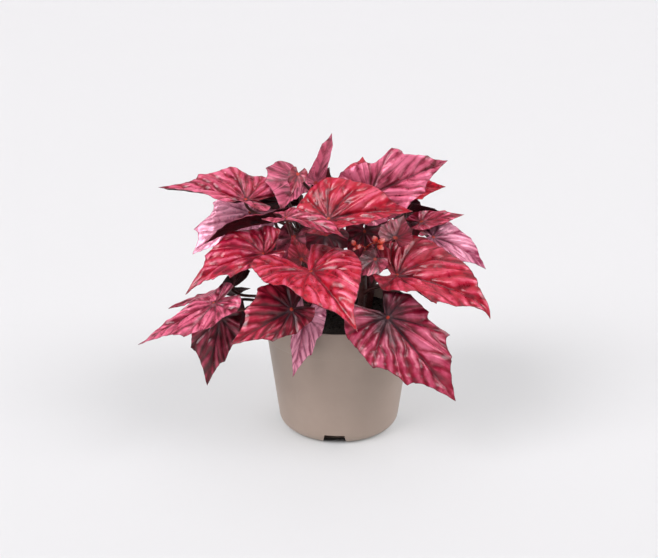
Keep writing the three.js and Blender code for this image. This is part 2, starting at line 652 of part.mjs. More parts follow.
addMesh('pot', buildPot(), 'pot');
addMesh('soil', buildSoil(), 'soil');
canes.forEach((cane, index) => addMesh(cane.name, buildCane(cane, index), 'cane'));
addMesh('flower_spray', buildSpray(), 'bud');
for (const blade of blades) {
  const leaf = { left: broadHalf, right: slimHalf, ...blade };
  addMesh(blade.name, buildBlade(leaf), blade.tone);
}

export default group;
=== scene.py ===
import math
import random

import bmesh
import bpy
import numpy as np
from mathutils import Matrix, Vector, noise


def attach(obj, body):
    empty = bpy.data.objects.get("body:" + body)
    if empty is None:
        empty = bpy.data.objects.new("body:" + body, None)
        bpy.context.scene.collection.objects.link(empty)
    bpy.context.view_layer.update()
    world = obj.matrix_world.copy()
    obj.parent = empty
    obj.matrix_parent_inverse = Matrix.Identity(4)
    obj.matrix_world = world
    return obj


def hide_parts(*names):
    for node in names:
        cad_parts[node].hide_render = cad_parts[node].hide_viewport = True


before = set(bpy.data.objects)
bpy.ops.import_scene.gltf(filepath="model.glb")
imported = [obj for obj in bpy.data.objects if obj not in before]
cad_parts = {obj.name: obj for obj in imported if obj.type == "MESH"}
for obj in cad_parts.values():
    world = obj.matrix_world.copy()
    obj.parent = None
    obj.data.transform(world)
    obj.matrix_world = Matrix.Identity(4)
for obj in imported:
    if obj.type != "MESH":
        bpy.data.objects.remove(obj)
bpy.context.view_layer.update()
mm = 0.001
dice = random.Random(7)
print("frame loaded")


class Signal:
    # one output socket of a material, with maths on it

    def __init__(self, paint, socket):
        self.paint = paint
        self.socket = socket

    def maths(self, operation, first, second=0.0, clamp=False):
        settings = {"operation": operation, "use_clamp": clamp}
        return self.paint.node("ShaderNodeMath", settings, {0: first, 1: second})

    def __add__(self, other):
        return self.maths("ADD", self, other)

    def __radd__(self, other):
        return self.maths("ADD", other, self)

    def __sub__(self, other):
        return self.maths("SUBTRACT", self, other)

    def __rsub__(self, other):
        return self.maths("SUBTRACT", other, self)

    def __mul__(self, other):
        return self.maths("MULTIPLY", self, other)

    def __rmul__(self, other):
        return self.maths("MULTIPLY", other, self)

    def __truediv__(self, other):
        return self.maths("DIVIDE", self, other)

    def __rtruediv__(self, other):
        return self.maths("DIVIDE", other, self)

    def fraction(self):
        return self.maths("FRACT", self)

    def size(self):
        return self.maths("ABSOLUTE", self)

    def clamped(self):
        return self.maths("ADD", self, 0.0, clamp=True)

    def ramp(self, low, high, fromValue=0.0, toValue=1.0):
        # a soft step from one value to another as this signal goes from low to high
        settings = {"interpolation_type": "SMOOTHSTEP"}
        sockets = {0: self, 1: low, 2: high, 3: fromValue, 4: toValue}
        return self.paint.node("ShaderNodeMapRange", settings, sockets)


class Paint:
    # the node tree of a new material, or of a world, with one method for every kind of node

    def __init__(self, owner, **constants):
        if isinstance(owner, str):
            owner = bpy.data.materials.new(owner)
            owner.use_nodes = True
        self.owner = owner
        self.tree = owner.node_tree
        self.shader = next(node for node in self.tree.nodes if not node.type.startswith("OUTPUT"))
        for socket, value in constants.items():
            self.shader.inputs[socket.replace("_", " ")].default_value = value

    def node(self, kind, settings=None, sockets=None, output=0):
        made = self.tree.nodes.new(kind)
        for key, value in (settings or {}).items():
            setattr(made, key, value)
        for key, value in (sockets or {}).items():
            if isinstance(value, Signal):
                self.tree.links.new(value.socket, made.inputs[key])
            else:
                made.inputs[key].default_value = value
        return Signal(self, made.outputs[output])

    def mix(self, factor, first, second):
        # a Mix node has its colours in sockets 6 and 7 and gives them out of socket 2
        settings = {"data_type": "RGBA", "clamp_factor": True}
        return self.node("ShaderNodeMix", settings, {0: factor, 6: rgba(first), 7: rgba(second)}, 2)

    def join(self, x, y, z):
        return self.node("ShaderNodeCombineXYZ", None, {0: x, 1: y, 2: z})

    def parts(self, vector):
        split = self.node("ShaderNodeSeparateXYZ", None, {0: vector}).socket.node
        return [Signal(self, split.outputs[i]) for i in range(3)]

    def place(self):
        return self.node("ShaderNodeTexCoord", output="Object")

    def stretch(self, vector, scale):
        return self.node("ShaderNodeVectorMath", {"operation": "MULTIPLY"}, {0: vector, 1: scale})

    def noise(self, vector, scale, detail, roughness):
        sockets = {"Vector": vector, "Scale": scale, "Detail": detail, "Roughness": roughness}
        return self.node("ShaderNodeTexNoise", None, sockets, "Fac")

    def cells(self, vector, scale, feature="F1"):
        sockets = {"Vector": vector, "Scale": scale}
        return self.node("ShaderNodeTexVoronoi", {"feature": feature}, sockets, "Distance")

    def attribute(self, name, output="Fac"):
        return self.node("ShaderNodeAttribute", {"attribute_name": name}, None, output)

    def bump(self, height, strength, distance):
        sockets = {"Height": height, "Strength": strength, "Distance": distance}
        return self.node("ShaderNodeBump", None, sockets)

    def finish(self, **links):
        for socket, value in links.items():
            target = self.shader.inputs[socket.replace("_", " ")]
            self.tree.links.new(value.socket, target)
        return self.owner


def rgba(colour):
    return colour if isinstance(colour, Signal) else (*colour, 1.0)


def addPiece(name, points, faces, materials, faceMaterial=None, smooth=True):
    mesh = bpy.data.meshes.new(name)
    mesh.from_pydata([tuple(p) for p in points], [], [tuple(f) for f in faces])
    for material in materials:
        mesh.materials.append(material)
    if faceMaterial is not None:
        mesh.polygons.foreach_set("material_index", faceMaterial)
    mesh.polygons.foreach_set("use_smooth", [smooth] * len(mesh.polygons))
    mesh.update()
    piece = bpy.data.objects.new(name, mesh)
    bpy.context.scene.collection.objects.link(piece)
    return piece


def setValues(piece, name, values):
    layer = piece.data.attributes.new(name, "FLOAT", "POINT")
    layer.data.foreach_set("value", np.ascontiguousarray(values, dtype=np.float32))


def setVectors(piece, name, values):
    layer = piece.data.attributes.new(name, "FLOAT_VECTOR", "POINT")
    layer.data.foreach_set("vector", np.ascontiguousarray(values, dtype=np.float32).ravel())


# The leaf blades. Sizes are in millimetres and angles in degrees, as on the plant.
# A margin runs from the tip round to the petiole: angle, share of the length, draw-in.
margins = {
    "broad": [(0, 1, 0.09), (26, 0.66, 0.08), (60, 0.53, 0.02), (104, 0.46, -0.08),
              (148, 0.4, -0.3), (180, 0.05, 0)],
    "slim": [(0, 1, 0.08), (34, 0.6, 0.06), (70, 0.45, 0), (112, 0.39, -0.08), (150, 0.35, -0.3),
              (180, 0.05, 0)],
    "long": [(0, 1, 0.04), (10, 0.8, 0), (24, 0.57, 0), (62, 0.35, -0.02), (118, 0.44, -0.08),
              (154, 0.33, -0.25), (180, 0.05, 0)],
    "eared": [(0, 1, 0.06), (12, 0.68, 0), (34, 0.57, 0.06), (74, 0.5, -0.05), (126, 0.66, -0.05),
              (150, 0.56, -0.25), (180, 0.08, 0)],
    "round": [(0, 1, 0.05), (12, 0.74, -0.02), (42, 0.58, -0.04), (80, 0.54, -0.04),
              (122, 0.48, -0.06), (152, 0.42, -0.25), (180, 0.06, 0)],
    "toothed": [(0, 1, 0.05), (20, 0.7, 0.1), (37, 0.63, 0.16), (60, 0.42, 0.02), (96, 0.32, -0.02),
              (146, 0.28, -0.25), (180, 0.05, 0)],
    "flared": [(0, 1, 0.03), (10, 0.8, 0), (26, 0.6, -0.03), (42, 0.6, 0.14), (74, 0.38, 0),
              (118, 0.44, -0.05), (150, 0.42, -0.25), (180, 0.05, 0)],
    "lobed": [(0, 1, 0.1), (21, 0.84, 0.16), (52, 0.56, 0.06), (100, 0.44, -0.06), (148, 0.4, -0.3),
              (180, 0.05, 0)],
    "slender": [(0, 1, 0.02), (8, 0.8, 0), (15, 0.56, 0), (34, 0.3, -0.04), (100, 0.14, -0.1),
              (180, 0.05, 0)],
}

# What a leaf is like unless its own entry below says otherwise.
plainLeaf = {
    "tone": "rose",                 # one of bladeColours
    "halves": ("broad", "slim"),    # margins of the left and the right half, seen from the petiole
    "wide": (1, 1),                 # how wide those halves are
    "fold": (10, 10),               # how steeply they rise from the midrib
    "cup": (-10, -10),              # how far they bend up on their way out, or down
    "arch": 10,                     # how far the midrib bends down towards the tip
    "curl": 0,                      # and how much more it does so near the tip
    "twist": 0,                     # of the blade about its midrib
    "look": (0.4, 0.35, 0.25),      # how silvery, partly painted highlight; how much painted shade round the petiole; how bright red, on leaf_08 painted backlight
}

# An entry gives the leaf's cane, counted from 0, the height at which the petiole leaves it, the
# two ends of the blade, base and tip, and the azimuth and height that its upper side faces. It
# may add a heel, the bend of the lobes behind the base, where that isn't the arch, and a point
# via which the petiole runs.
leafEntries = {
    # front and middle of the plant
    "leaf_01": {"cane": 0, "height": 170, "tone": "crimson", "base": (-30, -86, 210),
        "tip": (16, -160, 174), "face": (-105, 58), "arch": 45, "heel": -50, "fold": (14, 28),
        "cup": (-40, -20), "halves": ("round", "eared"), "look": (0.45, 0.15, 0.7)},
    "leaf_02": {"cane": 0, "height": 138, "tone": "crimson", "base": (-49, -98, 173),
        "tip": (-109, -128, 147), "face": (-100, 28), "arch": 15, "fold": (8, 8), "cup": (-20, -15),
        "wide": (0.8, 1.1), "halves": ("slim", "broad"), "look": (0.25, 0.75, 0.1)},
    "leaf_03": {"cane": 0, "height": 134, "tone": "lilac", "base": (-36, -86, 161),
        "tip": (-49, -99, 98), "face": (-60, 10), "fold": (12, 8), "cup": (0, 0),
        "wide": (0.75, 0.55), "via": (-20, -64, 152), "look": (0.95, 0.2, 0)},
    "leaf_04": {"cane": 1, "height": 138, "base": (49, -92, 162), "tip": (118, -122, 82),
        "face": (-85, 40), "arch": 14, "fold": (8, 8), "cup": (-20, -20), "wide": (0.95, 0.95),
        "halves": ("toothed", "broad"), "look": (0.42, 0.85, 0.2)},
    "leaf_05": {"cane": 1, "height": 158, "tone": "crimson", "base": (60, -52, 194),
        "tip": (154, -90, 160), "face": (-60, 85), "arch": 30, "curl": 50, "heel": -120,
        "fold": (42, -4), "cup": (-30, 0), "wide": (0.95, 0.9), "halves": ("round", "toothed"),
        "look": (0.35, 0.3, 0.45)},
    # right side
    "leaf_06": {"cane": 2, "height": 195, "tone": "lilac", "base": (102, -5, 221),
        "tip": (161, -2, 183), "face": (-60, 60), "arch": 45, "fold": (20, 5), "cup": (-30, -20),
        "wide": (0.8, 0.9), "halves": ("round", "slim"), "look": (0.75, 0.3, 0)},
    "leaf_07": {"cane": 2, "height": 200, "base": (72, 12, 244), "tip": (112, 18, 243),
        "face": (0, 90), "arch": 20, "fold": (5, 50), "cup": (-20, 20), "wide": (0.8, 0.9),
        "halves": ("long", "long"), "look": (0.4, 0.3, 0.2)},
    # leaf_08's even bright red is painted backlight, the light shining through it from behind
    "leaf_08": {"cane": 2, "height": 218, "tone": "crimson", "base": (66, 48, 260),
        "tip": (119, 45, 264), "face": (-90, 45), "fold": (0, 0), "wide": (0.95, 0.8),
        "look": (0.05, 0, 1)},
    "leaf_09": {"cane": 4, "height": 225, "base": (34, -4, 268), "tip": (117, 22, 299),
        "face": (-75, 38), "arch": 8, "fold": (22, 0), "wide": (1, 0.8),
        "halves": ("flared", "broad"), "look": (0.85, 0.2, 0.2)},
    # centre
    "leaf_10": {"cane": 4, "height": 225, "tone": "crimson", "base": (-12, -52, 255),
        "tip": (73, -66, 267), "face": (-90, 75), "arch": 20, "fold": (50, 5), "cup": (-30, -20),
        "wide": (1, 0.8), "via": (-6, -22, 248), "halves": ("round", "slim"),
        "look": (0.35, 0.4, 0.6)},
    "leaf_11": {"cane": 1, "height": 190, "base": (58, -44, 232), "tip": (68, -22, 250),
        "face": (-90, 40), "fold": (12, 12), "cup": (0, 0), "wide": (1.4, 1.4), "via": (46, 6, 214),
        "look": (0.4, 0.35, 0.4)},
    "leaf_12": {"cane": 4, "height": 190, "tone": "wine", "base": (-15, -22, 229),
        "tip": (-23, -43, 199), "face": (-95, 30), "fold": (8, 8), "wide": (1.5, 1.4),
        "look": (0.25, 0.5, 0)},
    "leaf_13": {"cane": 1, "height": 176, "tone": "wine", "base": (37, -48, 210),
        "tip": (12, -68, 195), "face": (-90, 35), "arch": 15, "cup": (-20, -20),
        "wide": (0.95, 0.95), "look": (0.8, 0, 0.1)},
    "leaf_14": {"cane": 0, "height": 184, "tone": "crimson", "base": (-40, -55, 212),
        "tip": (-50, -53, 238), "face": (-90, 20), "arch": 5, "fold": (20, 10), "cup": (0, 0),
        "wide": (1.2, 1), "look": (0.5, 0, 0.6)},
    # left side
    "leaf_15": {"cane": 3, "height": 212, "base": (-100, -8, 264), "tip": (-193, -2, 275),
        "face": (0, 90), "arch": 12, "fold": (4, 42), "cup": (0, -10), "wide": (0.8, 0.85),
        "halves": ("long", "broad"), "look": (0.65, 0.25, 0.4)},
    "leaf_16": {"cane": 3, "height": 190, "tone": "lilac", "base": (-99, 26, 240),
        "tip": (-162, 8, 197), "face": (-90, 45), "arch": 20, "fold": (5, 5), "wide": (0.9, 1),
        "halves": ("broad", "lobed"), "look": (1.1, 0, 0)},
    "leaf_17": {"cane": 3, "height": 205, "base": (-68, -18, 243), "tip": (-141, -52, 228),
        "face": (0, 90), "arch": 35, "fold": (45, 12), "cup": (0, -10), "wide": (0.8, 0.6),
        "halves": ("long", "long"), "look": (0.4, 0.2, 0.35)},
    "leaf_18": {"cane": 0, "height": 192, "base": (-55, -66, 261), "tip": (4, -104, 251),
        "face": (-90, 80), "arch": 30, "cup": (-20, 0), "wide": (0.7, 0.7), "via": (-48, -38, 226),
        "halves": ("long", "long"), "look": (0.5, 0.2, 0.25)},
    "leaf_19": {"cane": 0, "height": 176, "base": (-79.5, -50, 217), "tip": (-159, -78, 182),
        "face": (-90, 75), "arch": 50, "heel": -140, "fold": (8, 28), "cup": (-20, -20),
        "wide": (0.7, 0.85), "halves": ("toothed", "broad"), "look": (0.35, 0.2, 0.55)},
    "leaf_20": {"cane": 0, "height": 155, "base": (-118, -24, 170), "tip": (-183, -46, 154),
        "face": (85, 45), "arch": 5, "twist": -70, "fold": (0, 0), "cup": (0, 0), "wide": (1, 0.7),
        "look": (0.45, 0.3, 0.15)},
    "leaf_21": {"cane": 0, "height": 146, "base": (-129, -88, 177), "tip": (-204, -112, 140),
        "face": (-90, 75), "arch": 12, "heel": -70, "fold": (-5, 4), "cup": (0, 0),
        "wide": (0.85, 0.5), "halves": ("slim", "long"), "look": (0.7, 0.1, 0.1)},
    "leaf_22": {"cane": 0, "height": 136, "tone": "wine", "base": (-126, -66, 150),
        "tip": (-140, -85, 82), "face": (-95, 8), "arch": 12, "fold": (5, 5), "wide": (0.7, 1),
        "via": (-108, -26, 156), "look": (0.5, 0.4, 0)},
    "leaf_23": {"cane": 0, "height": 130, "tone": "wine", "base": (-102, -43, 151),
        "tip": (-115, -60, 124), "face": (-80, 15), "arch": 12, "fold": (5, 5),
        "look": (0.2, 0.8, 0)},
    # top
    "leaf_24": {"cane": 4, "height": 232, "base": (-25, -4, 281), "tip": (-8, -5, 334),
        "face": (-50, 0), "arch": 5, "fold": (10, 30), "cup": (0, 0), "wide": (1.9, 0.8),
        "halves": ("slender", "slender"), "look": (1, 0, 0.2)},
    "leaf_25": {"cane": 3, "height": 218, "base": (-42, 15, 280), "tip": (-62, -22, 255),
        "face": (-100, 20), "fold": (5, 5), "cup": (0, 0), "wide": (0.6, 1.9),
        "look": (0.9, 0.2, 0.15)},
    "leaf_26": {"cane": 4, "height": 228, "base": (-44, -14, 293), "tip": (-51, -26, 274),
        "face": (-100, 10), "fold": (15, 15), "cup": (0, 0), "look": (0.4, 0.3, 0.35)},
    "leaf_27": {"cane": 4, "height": 222, "base": (28, 54, 264), "tip": (28, 104, 285),
        "face": (-90, 70), "arch": 5, "fold": (8, 8), "wide": (1.1, 0.8),
        "halves": ("round", "round"), "look": (0.15, 0.2, 0.6)},
    "leaf_28": {"cane": 4, "height": 230, "base": (-20, 28, 268), "tip": (-11, 30, 290),
        "face": (90, 10), "arch": 5, "fold": (5, 5), "cup": (0, 0), "wide": (1.2, 1.2),
        "look": (0.3, 0.4, 0.1)},
    "leaf_29": {"cane": 2, "height": 212, "base": (89, 0, 237), "tip": (136, 9, 242),
        "face": (-70, 55), "fold": (5, 5), "wide": (0.6, 0.6), "via": (80, 24, 241),
        "look": (0.45, 0.2, 0.3)},
    "leaf_30": {"cane": 2, "height": 168, "base": (108, 30, 186), "tip": (152, 20, 166),
        "face": (90, 60), "fold": (5, 5), "wide": (0.8, 0.8), "look": (0.1, 0.3, 0.5)},
    # inside the plant
    "leaf_31": {"cane": 2, "height": 196, "tone": "wine", "base": (28, 18, 220),
        "tip": (33, 2, 153), "face": (-90, 30), "fold": (8, 8), "wide": (0.85, 0.8),
        "look": (0.4, 0.2, 0)},
    "leaf_32": {"cane": 2, "height": 200, "tone": "wine", "base": (75, 40, 238),
        "tip": (86, 30, 196), "face": (-80, 20), "fold": (8, 8), "wide": (0.9, 0.9),
        "look": (0.2, 0.8, 0)},
    # back of the plant
    "leaf_33": {"cane": 2, "height": 188, "base": (72, 68, 210), "tip": (118, 122, 172),
        "face": (45, 70), "arch": 40, "cup": (-30, -30)},
    "leaf_34": {"cane": 4, "height": 150, "tone": "crimson", "base": (30, 86, 226),
        "tip": (50, 152, 186), "face": (80, 70), "arch": 40, "fold": (12, 12), "cup": (-30, -30)},
    "leaf_35": {"cane": 4, "height": 160, "base": (-4, 72, 240), "tip": (-8, 142, 212),
        "face": (90, 70), "arch": 40, "cup": (-30, -30), "wide": (0.95, 0.95)},
    "leaf_36": {"cane": 3, "height": 190, "tone": "crimson", "base": (-35, 86, 221),
        "tip": (-50, 149, 178), "face": (105, 70), "arch": 40, "cup": (-30, -30),
        "wide": (0.9, 0.9)},
    "leaf_37": {"cane": 3, "height": 196, "base": (-67, 75, 240), "tip": (-100, 104, 186),
        "face": (115, 35), "arch": 35, "cup": (-30, -30), "wide": (0.95, 0.95)},
    "leaf_38": {"cane": 3, "height": 172, "tone": "crimson", "base": (-77, 10, 198),
        "tip": (-138, 22, 180), "face": (100, 42), "arch": 30, "cup": (-25, -25),
        "wide": (0.9, 0.9)},
    "leaf_39": {"cane": 2, "height": 155, "tone": "crimson", "base": (86, 40, 164),
        "tip": (134, 66, 124), "face": (30, 60), "arch": 30, "cup": (-25, -25), "wide": (0.9, 0.9)},
    "leaf_40": {"cane": 2, "height": 146, "base": (52, 84, 168), "tip": (84, 142, 118),
        "face": (60, 60), "arch": 35, "cup": (-25, -25), "wide": (0.9, 0.9)},
    "leaf_41": {"cane": 2, "height": 140, "tone": "wine", "base": (6, 94, 154), "tip": (8, 152, 94),
        "face": (90, 50), "arch": 30, "cup": (-25, -25), "wide": (0.9, 0.9)},
    "leaf_42": {"cane": 3, "height": 146, "tone": "crimson", "base": (-46, 80, 196),
        "tip": (-66, 130, 138), "face": (105, 35), "arch": 30, "cup": (-25, -25)},
    # inside the plant, at the left
    "leaf_43": {"cane": 3, "height": 175, "tone": "wine", "base": (-49, -17, 225),
        "tip": (-60, -36, 188), "face": (-90, 30), "fold": (8, 8), "wide": (1.1, 1),
        "look": (0.95, 0, 0)},
    # high at the back
    "leaf_44": {"cane": 3, "height": 214, "base": (-30, 48, 262), "tip": (-48, 104, 246),
        "face": (100, 75), "arch": 30, "fold": (12, 12), "cup": (-25, -25)},
    "leaf_45": {"cane": 3, "height": 208, "tone": "crimson", "base": (-69, 62, 265),
        "tip": (-117, 88, 247), "face": (130, 55), "arch": 30, "fold": (12, 12), "cup": (-25, -25),
        "wide": (0.9, 0.9), "via": (-60, 42, 255)},
}

leafShapes = {name: {**plainLeaf, **entry} for name, entry in leafEntries.items()}

bladeMake = {
    "thickness": 0.62,              # at the midrib
    "edgeThickness": 0.28,
    "ringSpacing": 1.6,             # of the mesh, along the midrib
    "rings": (14, 64),              # fewest and most of them
    "lastRing": 0.985,              # how near the margin the ring before it lies
    "spokeSpacing": 2.0,            # of the mesh, along the margin
    "mostSpokes": 56,               # on a stretch of the margin as long as the blade
    "spokeBend": 9,                 # the spokes start out so far back and bend forward
    "wave": 0.025,                  # of the margin, as a share of the length
    "waveCount": 5,
    "tooth": 0.018,                 # of the margin, as a share of the distance from the petiole
    "veinGap": 34,                  # least angle between two main veins
    "lastVein": 160,                # greatest angle between a main vein and the tip
    "pleat": 0.22,                  # distance between side veins as a share of the length
    "pleatLean": 1.5,               # how far the side veins lean forward
    "pleatCurve": 0.012,            # and how much more they do so further out
    "halfShift": 0.5,               # side veins start out of step: those of one half,
    "veinShift": 0.37,              # of the next main vein
    "flankShift": 0.45,             # and of a main vein's other side
    "stray": (0.22, 1.1),           # slow wander of the side veins, and how fine it is
    "jitter": (0.025, 4),           # and the small one
    "fullSize": 90,                 # blades from this length on have all of the relief below
    "puff": 3.4,                    # how far the tissue swells between the side veins
    "puffVary": 0.35,               # how much that differs from pleat to pleat
    "puffFrom": 2.5,                # distance from a main vein over which it sets in
    "puffUntil": 3.0,               # and over which it ends, half way to the next one
    "bulge": 2.4,                   # how far the tissue swells between the main veins
    "bulgeFrom": 7,                 # distance from a main vein over which it sets in
    "bulgeRun": 25,                 # and from the petiole
    "groove": 1.1,                  # how deep the main veins are cut
    "grooveWidth": 1.5,
    "grooveFade": 0.7,              # share of its depth that it loses towards the margin
    "grooveRun": 18,                # distance from the petiole at which it has its full depth
    "sink": 1.7,                    # keeps the relief even about the plain blade
    "crumple": (0.16, 4),           # small unevenness of the whole surface, and how fine it is
    "ripple": (1.1, 2.2),           # that of the margin
}


def marginReach(half, degrees):
    # how far the margin is from the base at each angle, as a share of the length
    reach = np.zeros_like(degrees)
    for (start, near, draw), (end, far, _) in zip(half, half[1:]):
        part = (degrees >= start) & (degrees <= end)
        t = (degrees[part] - start) / (end - start)
        a = np.radians(degrees[part] - start)
        b = np.radians(end - degrees[part])
        chord = near * far * np.sin(a + b) / (near * np.sin(a) + far * np.sin(b))
        reach[part] = chord * (1 - draw * 4 * t * (1 - t))
    return reach


def midribFrame(shape, u):
    # directions along the midrib, to its left and up, at shares u of its length
    heel = shape.get("heel", shape["arch"])
    late = np.maximum(0, (u - 0.7) / 0.3)
    droop = np.where(u < 0, heel * u, shape["arch"] * u + shape["curl"] * late ** 2)
    pitch = -np.radians(droop)
    turn = np.radians(shape["twist"] * u)
    zero = np.zeros_like(u)
    along = np.stack([np.cos(pitch), zero, np.sin(pitch)], -1)
    flat = np.stack([zero, zero + 1, zero], -1)
    rise = np.stack([-np.sin(pitch), zero, np.cos(pitch)], -1)
    side = flat * np.cos(turn)[:, None] + rise * np.sin(turn)[:, None]
    up = rise * np.cos(turn)[:, None] - flat * np.sin(turn)[:, None]
    return along, side, up


def midribPoint(shape, u, steps=20):
    point = np.zeros((len(u), 3))
    for i in range(steps):
        point += midribFrame(shape, u * (i + 0.5) / steps)[0] * (u / steps)[:, None]
    return point


def bladePoints(shape, degrees, reach, share):
    # points of the plain upper side, without relief, for a blade of length 1
    turned = degrees + bladeMake["spokeBend"] * (1 - share) * np.sin(np.radians(degrees))
    left = degrees >= 0
    u = reach * share * np.cos(np.radians(turned))
    v = reach * share * np.abs(np.sin(np.radians(turned))) * np.where(left, *shape["wide"])
    fold = np.radians(np.where(left, *shape["fold"]))
    bend = 2 * np.radians(np.where(left, *shape["cup"]))
    bent = np.where(np.abs(bend) > 0.01, bend, 0.01)         # it divides below
    across = (np.sin(fold + bent * v) - np.sin(fold)) / bent
    rise = (np.cos(fold) - np.cos(fold + bent * v)) / bent
    rise += bladeMake["wave"] * share ** 2 * np.sin(np.radians(degrees * bladeMake["waveCount"]))
    _, side, up = midribFrame(shape, u)
    across = np.where(left, across, -across)
    return midribPoint(shape, u) + side * across[:, None] + up * rise[:, None]


def facing(azimuth, height):
    a, h = math.radians(azimuth), math.radians(height)
    return np.array([math.cos(h) * math.cos(a), math.cos(h) * math.sin(a), math.sin(h)])


def basis(direction, upward):
    x = direction / np.linalg.norm(direction)
    z = upward - x * upward.dot(x)
    z /= np.linalg.norm(z)
    return np.stack([x, np.cross(z, x), z], 1)


def bladePlacement(shape):
    # rotation, size and base that set a blade of length 1 between its base and its tip
    base, tip = np.array(shape["base"], float), np.array(shape["tip"], float)
    chord = midribPoint(shape, np.array([1.0]))[0]
    local = basis(chord, np.array([0.0, 0.0, 1.0]))
    world = basis(tip - base, facing(*shape["face"]))
    return world @ local.T, np.linalg.norm(tip - base) / np.linalg.norm(chord), base


def veinAngles(half):
    # the main veins run to corners of the margin
    angles = [0]
    for angle, _, _ in half:
        if angle - angles[-1] >= bladeMake["veinGap"] and angle < bladeMake["lastVein"]:
            angles.append(angle)
    return np.array(angles, float)


def spokeAngles(half, step):
    angles = []
    for (start, near, _), (end, far, _) in zip(half, half[1:]):
        count = max(1, round((end - start) * math.radians(1) * (near + far) / 2 / step))
        angles += [start + (end - start) * i / count for i in range(count)]
    return np.array(angles)


def wander(x, y, fineness, seed):
    # slow, even irregularity between -1 and 1
    x, y = x * fineness, y * fineness
    return (np.sin(x * 0.11 + seed) * np.cos(y * 0.13 + seed * 2.3)
            + 0.5 * np.sin(x * 0.23 - y * 0.19 + seed * 5.1)) / 1.5


def veinSpokes(halves, spokes):
    # for each spoke: the angle to its main vein, to the next one, and where its side veins start
    make = bladeMake
    near, other, start = np.zeros((3, len(spokes)))
    sides = ((halves[0], spokes >= 0, make["halfShift"]), (halves[1], spokes < 0, 0.0))
    for half, onSide, shift in sides:
        veins = veinAngles(half)
        apart = np.abs(spokes[onSide])[:, None] - veins
        order = np.argsort(np.abs(apart), axis=1)
        rows = np.arange(len(order))
        first = apart[rows, order[:, 0]]
        near[onSide] = np.abs(first)
        other[onSide] = np.abs(apart[rows, order[:, 1]])
        start[onSide] = shift + order[:, 0] * make["veinShift"]
        start[onSide] += np.where(first < 0, make["flankShift"], 0)
    return near, other, start


def sideVein(run, near, start, pleat):
    # which side vein a point lies on, a whole number on the vein itself, and how far the point
    # is from the main vein
    away = run * np.sin(np.radians(np.minimum(near, 90)))
    ahead = run * np.cos(np.radians(near))
    lean = (bladeMake["pleatLean"] + bladeMake["pleatCurve"] * away) * away
    return (ahead - lean) / pleat + start, away


def bladeGrid(shape, size, seed):
    # where the points of one side lie on the blade: its middle first, then ring by ring
    make = bladeMake
    halves = [margins[half] for half in shape["halves"]]
    step = max(make["spokeSpacing"], size / make["mostSpokes"]) / size
    left, right = spokeAngles(halves[0], step), spokeAngles(halves[1], step)[1:]
    spokes = np.concatenate([left, [180.0], -right[::-1]])
    reach = np.where(spokes >= 0, marginReach(halves[0], np.abs(spokes)),
                     marginReach(halves[1], np.abs(spokes)))
    near, other, start = veinSpokes(halves, spokes)
    pleat = make["pleat"] * size

    # the margin gets a small forward tooth where each side vein ends
    ends, _ = sideVein(reach * size, near, start, pleat)
    reach = reach * (1 + make["tooth"] * (0.5 - ends % 1) * np.clip(reach * 3, 0, 1))

    fewest, most = make["rings"]
    rings = int(min(most, max(fewest, size / make["ringSpacing"])))
    shares = np.append(np.linspace(0, 1, rings + 1)[1:-1], [make["lastRing"], 1.0])
    degrees, reach, near, other, start = [np.append([0.0], np.tile(values, len(shares)))
                                          for values in (spokes, reach, near, other, start)]
    share = np.append([0.0], np.repeat(shares, len(spokes)))
    run = reach * share * size
    x, y = run * np.cos(np.radians(degrees)), run * np.sin(np.radians(degrees))
    order, away = sideVein(run, near, start, pleat)
    (stray, strayFine), (jitter, jitterFine) = make["stray"], make["jitter"]
    order += stray * wander(x, y, strayFine, seed) + jitter * wander(x, y, jitterFine, seed + 3)
    return {"rings": len(shares), "spokes": len(spokes), "degrees": degrees, "reach": reach,
            "share": share, "run": run, "x": x, "y": y, "order": order, "away": away,
            "between": run * np.radians(other - near) / 2}


def bladeRelief(grid, size, seed):
    # how far each point of the upper side stands out from the plain blade
    make = bladeMake
    share, run, x, y, away = [grid[key] for key in ("share", "run", "x", "y", "away")]
    part, which = grid["order"] % 1, np.floor(grid["order"])
    strength = 0.85 + make["puffVary"] * np.sin(which * 4.3 + seed)
    puff = (make["puff"] * strength * np.sin(np.pi * part) ** 0.8
            * (1 - np.exp(-away / make["puffFrom"]))
            * np.clip(grid["between"] / make["puffUntil"], 0, 1))
    bulge = (make["bulge"] * (1 - np.exp(-away / make["bulgeFrom"]))
             * np.clip(run / make["bulgeRun"], 0, 1))
    groove = (make["groove"] * np.exp(-(away / make["grooveWidth"]) ** 2)
              * (1 - make["grooveFade"] * share) * np.clip(run / make["grooveRun"], 0.3, 1))
    crumple = make["crumple"][0] * wander(x, y, make["crumple"][1], seed + 4)
    ripple = make["ripple"][0] * share ** 3 * wander(x, y, make["ripple"][1], seed + 2)
    fade = (1 - share ** 6) * np.clip(run / 6, 0, 1)         # none at the margin and the petiole
    relief = (puff + bulge - groove + crumple - make["sink"]) * fade + ripple
    return min(1.0, size / make["fullSize"]) * relief


def bladeFaces(rings, count):
    # the faces of one side, and the walls that join both sides round the margin
    ring = np.arange(count)
    after = (ring + 1) % count
    fan = np.stack([np.zeros(count, int), 1 + ring, 1 + after], 1)
    inner = 1 + np.arange(rings - 1)[:, None] * count
    quads = np.stack([inner + ring, inner + count + ring, inner + count + after, inner + after], 2)
    rim, total = 1 + (rings - 1) * count, 1 + rings * count
    walls = np.stack([rim + after, rim + ring, total + rim + ring, total + rim + after], 1)
    return fan, quads.reshape(-1, 4), walls


def vertexNormals(points, faces):
    corner = points[faces]
    flat = np.cross(corner[:, 2] - corner[:, 0], corner[:, -1] - corner[:, 1])
    normals = np.zeros_like(points)
    for k in range(faces.shape[1]):
        np.add.at(normals, faces[:, k], flat)
    return normals / np.maximum(np.linalg.norm(normals, axis=1), 1e-12)[:, None]


def bothSides(*values):
    # a column for each value, for the upper side's points and again for the lower side's
    return np.tile(np.stack(values, 1), (2, 1))


